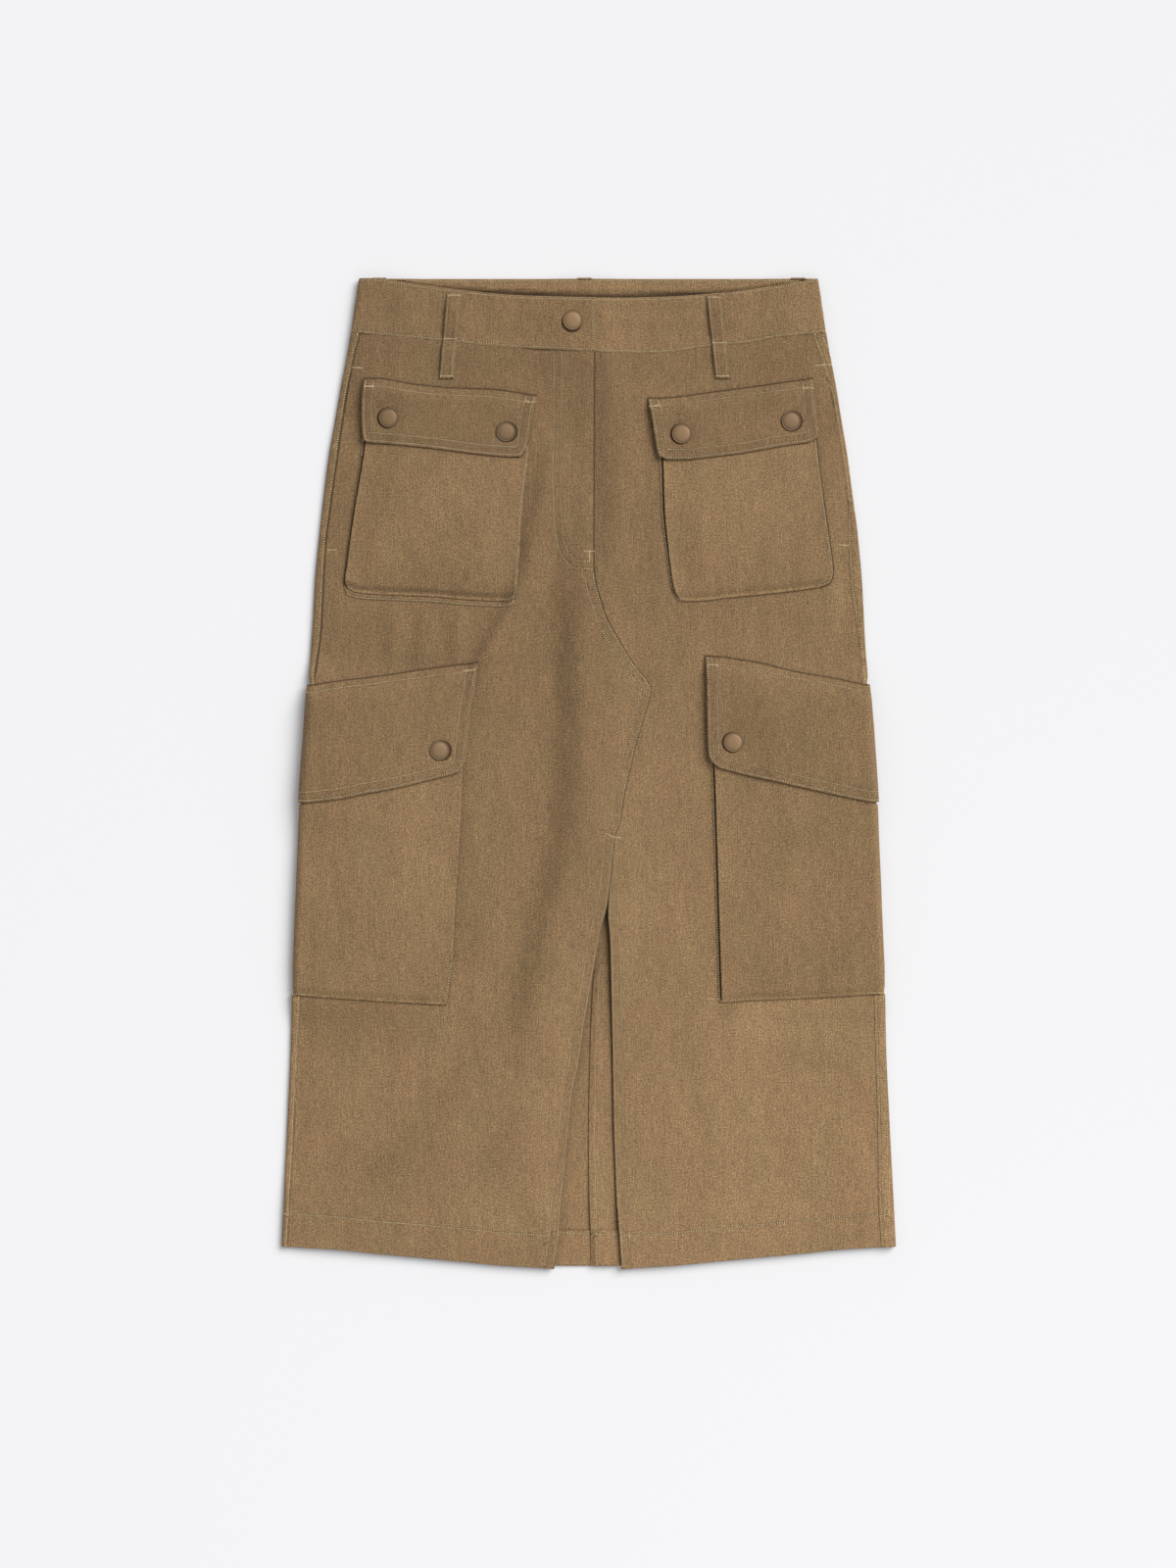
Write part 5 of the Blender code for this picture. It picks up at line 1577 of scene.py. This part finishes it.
class Finish:
    # one material and the ways to add to it

    def __init__(self, name, **constants):
        self.material = bpy.data.materials.new(name)
        self.material.use_nodes = True
        self.tree = self.material.node_tree
        self.shader = self.tree.nodes["Principled BSDF"]
        for socket, value in constants.items():
            self.shader.inputs[socket.replace("_", " ")].default_value = value

    def node(self, kind, settings, values, output=0):
        node = self.tree.nodes.new(kind)
        for setting, value in settings.items():
            setattr(node, setting, value)
        for socket, value in values.items():
            if isinstance(value, Shade):
                self.tree.links.new(value.socket, node.inputs[socket])
            else:
                node.inputs[socket].default_value = value
        return Shade(self, node.outputs[output])

    def maths(self, operation, *terms):
        return self.node("ShaderNodeMath", {"operation": operation}, dict(enumerate(terms)))

    def attribute(self, name):
        return self.node("ShaderNodeAttribute", {"attribute_name": name}, {}, "Fac")

    def noise(self, place, across, along, detail=2.0):
        # sizes in millimetres; the result is about -0.5 to 0.5
        sizes = {"Vector": place, "Scale": (across * mm, along * mm, mm)}
        stretched = self.node("ShaderNodeMapping", {"vector_type": "TEXTURE"}, sizes)
        return self.node("ShaderNodeTexNoise", {"noise_dimensions": "2D"},
                         {"Vector": stretched, "Scale": 1.0, "Detail": detail}) - 0.5

    def step(self, value, start, end):
        return self.node("ShaderNodeMapRange", {"interpolation_type": "SMOOTHSTEP"},
                         {"Value": value, "From Min": start, "From Max": end, "To Min": 0.0, "To Max": 1.0})

    def mixed(self, first, second, share, blend="MIX"):
        settings = {"data_type": "RGBA", "blend_type": blend}
        return self.node("ShaderNodeMix", settings, {0: share, 6: first, 7: second}, 2)

    def grains(self, scale, detail):
        place = self.node("ShaderNodeTexCoord", {}, {}, "Object")
        return self.node("ShaderNodeTexNoise", {}, {"Vector": place, "Scale": scale, "Detail": detail})

    def bump(self, height):
        return self.node("ShaderNodeBump", {}, {"Strength": 1.0, "Distance": mm, "Height": height})

    def feed(self, socket, value):
        self.tree.links.new(value.socket, self.shader.inputs[socket])


weave = {
    "colour": (0.251, 0.1535, 0.0755, 1), "wornColour": (0.345, 0.233, 0.124, 1),
    "paintedShadow": (0.05, 0.024, 0.009, 1), "greener": (0.234, 0.157, 0.0725, 1), "greenPatch": (36, 60),
    "greenRun": (-0.2, 0.25), "green": 0.5, "worn": (0.3, 1.2), "wale": 0.85, "waleLean": 1.1,
    "waleDepth": 0.035,
    # patterns of the threads: size across and along, and how much they lighten and darken
    "layers": {
        "warp": (0.75, 8, 0.75), "slub": (1.4, 45, 0.22), "weft": (8, 0.9, 0.4), "grain": (1.0, 1.2, 2.0),
        "streak": (3.0, 20, 0.2), "band": (9, 60, 0.13), "mottle": (26, 48, 0.2), "wash": (150, 190, 0.2),
    },
    "depths": {"warp": 0.20, "grain": 0.17, "slub": 0.15},
    # beside a row of stitches: groove, dimples and puckers, with painted shade in them and between the rows
    "groove": 0.2, "grooveRun": (0.1, 1.1), "grooveDark": 0.12, "dimple": 0.15, "dimpleRun": (-0.2, 0.9),
    "dimpleDark": 0.42, "between": (-0.4, 0.3), "betweenDark": 0.06, "pucker": (4.6, 0.7, 0.22),
    # a rumpled bump; fade is painted light, darker towards the waist and lighter towards the hem; crease is
    # the painted shadow where an edge lies over the cloth
    "rumple": (22, 34, 1.6), "fade": (0.97, -0.35), "creaseShadow": (0.3, 1.4, 0.9),
}


def makeTwill():
    twill = Finish("twill", Roughness=0.88, Sheen_Weight=0.12, Sheen_Roughness=0.45, Specular_IOR_Level=0.25)
    flat = twill.node("ShaderNodeUVMap", {"uv_map": "weave"}, {})
    across, along = (twill.node("ShaderNodeSeparateXYZ", {}, {0: flat}, output) for output in (0, 1))
    turn = math.tau / (weave["wale"] * mm)
    lean = weave["waleLean"]
    wale = twill.maths("SINE", across * (turn * math.sin(lean)) + along * (turn * math.cos(lean)))
    layers = {key: twill.noise(flat, *sizes, detail=3.0) for key, (*sizes, _) in weave["layers"].items()}
    worn, toneAndPaintedLight, creaseShadow = (twill.attribute(label) for label in ("worn", "toneAndPaintedLight", "creaseShadow"))
    offset, half = twill.attribute("rowOffset"), twill.attribute("rowHalf")
    near, run = twill.attribute("rowNear"), twill.attribute("rowRun")
    inGroove = (1 - twill.step(abs(abs(offset) - half), *weave["grooveRun"])) * near
    # the cloth is drawn in where the thread goes through it, with painted shade there and between the rows
    between = (1 - twill.step(abs(offset) - half, *weave["between"])) * near
    dimples = twill.maths("SINE", run * (math.tau / sewing["pitch"]))
    dimples = twill.step(dimples, *weave["dimpleRun"]) * inGroove
    puckerSize, puckerDepth, puckerShade = weave["pucker"]
    pucker = twill.noise(flat, puckerSize, puckerSize, detail=1.0)
    place = twill.node("ShaderNodeTexCoord", {}, {}, "Object")
    upward = twill.node("ShaderNodeSeparateXYZ", {}, {0: place}, 1)
    # painted light: darker towards the waist and lighter towards the hem
    shade = toneAndPaintedLight * (weave["fade"][0] + upward * weave["fade"][1])
    for key, layer in layers.items():
        shade = shade * (1 + layer * weave["layers"][key][2])
    # painted shade beside the stitches, and painted light and shade on the puckers
    stitchShade = between * weave["betweenDark"] + inGroove * weave["grooveDark"] + dimples * weave["dimpleDark"]
    shade = shade * (1 - stitchShade) * (1 + pucker * near * puckerShade)
    patches = twill.step(twill.noise(flat, *weave["greenPatch"]), *weave["greenRun"])
    colour = twill.mixed(weave["colour"], weave["greener"], patches * weave["green"])
    rubbed = worn * (weave["worn"][0] + layers["grain"] * weave["worn"][1])
    colour = twill.mixed(colour, weave["wornColour"], rubbed)
    colour = twill.mixed(colour, shade, 1.0, "MULTIPLY")
    # painted shadow: dark brown where an edge lies over the cloth
    start, end, dark = weave["creaseShadow"]
    twill.feed("Base Color", twill.mixed(colour, weave["paintedShadow"], (1 - twill.step(creaseShadow, start, end)) * dark))
    height = wale * weave["waleDepth"] - inGroove * weave["groove"] - dimples * weave["dimple"]
    for key, depth in weave["depths"].items():
        height = height + layers[key] * depth
    wide, long, depth = weave["rumple"]
    height = height + pucker * near * puckerDepth + twill.noise(flat, wide, long) * depth
    twill.feed("Normal", twill.bump(height))
    return twill.material


twist = {"dark": (0.48, 0.375, 0.21, 1), "light": (0.74, 0.59, 0.34, 1), "spots": 420.0, "run": (0.33, 0.67)}


def makeThread():
    thread = Finish("sewing_thread", Roughness=0.6, Sheen_Weight=0.1)
    spots = thread.step(thread.grains(twist["spots"], 1.0), *twist["run"])
    thread.feed("Base Color", thread.mixed(twist["dark"], twist["light"], spots))
    return thread.material


# a cap's finish: dark rings by their distance from the cap's middle in millimetres, patina in the groove and
# a painted shadow ring outside the rim
bronze = {
    "colour": (0.222, 0.138, 0.069, 1), "darkColour": (0.05, 0.032, 0.018, 1),
    "groove": ((5.6, 6.2), (6.5, 6.9)), "grooveDark": 0.55, "rim": (6.9, 7.2), "rimDark": 0.9,
    "metallic": (0.3, 0.2), "roughness": (0.6, 0.25), "rub": 0.3, "bump": 0.05,
}


def makeSnapMetal():
    metal = Finish("antique_bronze", Specular_IOR_Level=0.4)
    radius = metal.attribute("radius")
    rub = metal.grains(900.0, 3.0) - 0.5
    start, end = bronze["groove"]
    inGroove = metal.step(radius, *start) * (1 - metal.step(radius, *end))
    # the ring outside the rim is painted shadow; the groove's is patina
    outside = metal.step(radius, *bronze["rim"])
    dark = metal.maths("MAXIMUM", inGroove * bronze["grooveDark"], outside * bronze["rimDark"])
    colour = metal.mixed(bronze["colour"], bronze["darkColour"], dark)
    # each cap's tone is a painted reflection, with rubbed grain
    toneAndPaintedLight = metal.attribute("toneAndPaintedLight") * (1 + rub * bronze["rub"])
    metal.feed("Base Color", metal.mixed(colour, toneAndPaintedLight, 1.0, "MULTIPLY"))
    metal.feed("Metallic", bronze["metallic"][0] - dark * bronze["metallic"][1])
    metal.feed("Roughness", bronze["roughness"][0] + rub * bronze["roughness"][1])
    metal.feed("Normal", metal.bump(rub * bronze["bump"]))
    return metal.material


finishes = {"twill": makeTwill(), "thread": makeThread(), "snap_metal": makeSnapMetal()}
for piece in pieces.values():
    piece.data.materials.append(finishes["twill"])
for piece in threadWork.values():
    piece.data.materials.append(finishes["thread"])
for piece in caps:
    piece.data.materials.append(finishes["snap_metal"])
print("finishes made")

view = {"distance": 3.0, "long": 1.184, "x": -0.0004, "y": -0.0081, "sensor": 36}
camera = inScene("camera", bpy.data.cameras.new("camera"))
camera.data.sensor_width = view["sensor"]
camera.data.lens = view["sensor"] * view["distance"] / view["long"]
camera.location = (view["x"], view["y"], view["distance"])
bpy.context.scene.camera = camera

# a wide soft window high on the right, and a weak card low down in front
window = {"from": (1.0, 0.85, 1.3), "spread": 0.75, "strength": 2.97, "fill": 0.42}
card = {"place": (0.75, -1.1, 1.5), "size": 0.5, "strength": 2.2}


def pointed(name, lamp, place):
    # a light that looks from a place to the origin
    obj = inScene(name, lamp)
    obj.rotation_euler = (-Vector(place)).to_track_quat("-Z", "Y").to_euler()
    return obj


sun = bpy.data.lights.new("window_light", "SUN")
sun.energy = window["strength"]
sun.angle = window["spread"]
pointed("window_light", sun, window["from"])
disk = bpy.data.lights.new("low_card", "AREA")
disk.shape = "DISK"
disk.size = card["size"]
disk.energy = card["strength"]
pointed("low_card", disk, card["place"]).location = card["place"]

world = bpy.data.worlds.new("studio")
world.use_nodes = True
world.node_tree.nodes["Background"].inputs["Color"].default_value = (1, 1, 1, 1)
world.node_tree.nodes["Background"].inputs["Strength"].default_value = window["fill"]
bpy.context.scene.world = world
bpy.context.scene.view_settings.view_transform = "Standard"

# the paper glows a little: painted light that lightens the shadows on the floor
ground = {"half": 4.0, "below": 0.0004, "colour": (0.748, 0.748, 0.762, 1), "glow": (1, 1, 1.02, 1)}
bm = bmesh.new()
bmesh.ops.create_grid(bm, x_segments=1, y_segments=1, size=ground["half"])
bmesh.ops.translate(bm, verts=bm.verts, vec=(0, 0, -ground["below"]))
floor = inScene("floor", meshFrom(bm, "floor"))
paper = Finish("paper", Base_Color=ground["colour"], Roughness=0.9, Emission_Color=ground["glow"],
               Emission_Strength=0.06)
floor.data.materials.append(paper.material)

print("pieces", len(pieces), "triangles", sum(2 * len(p.data.polygons) for p in pieces.values()))
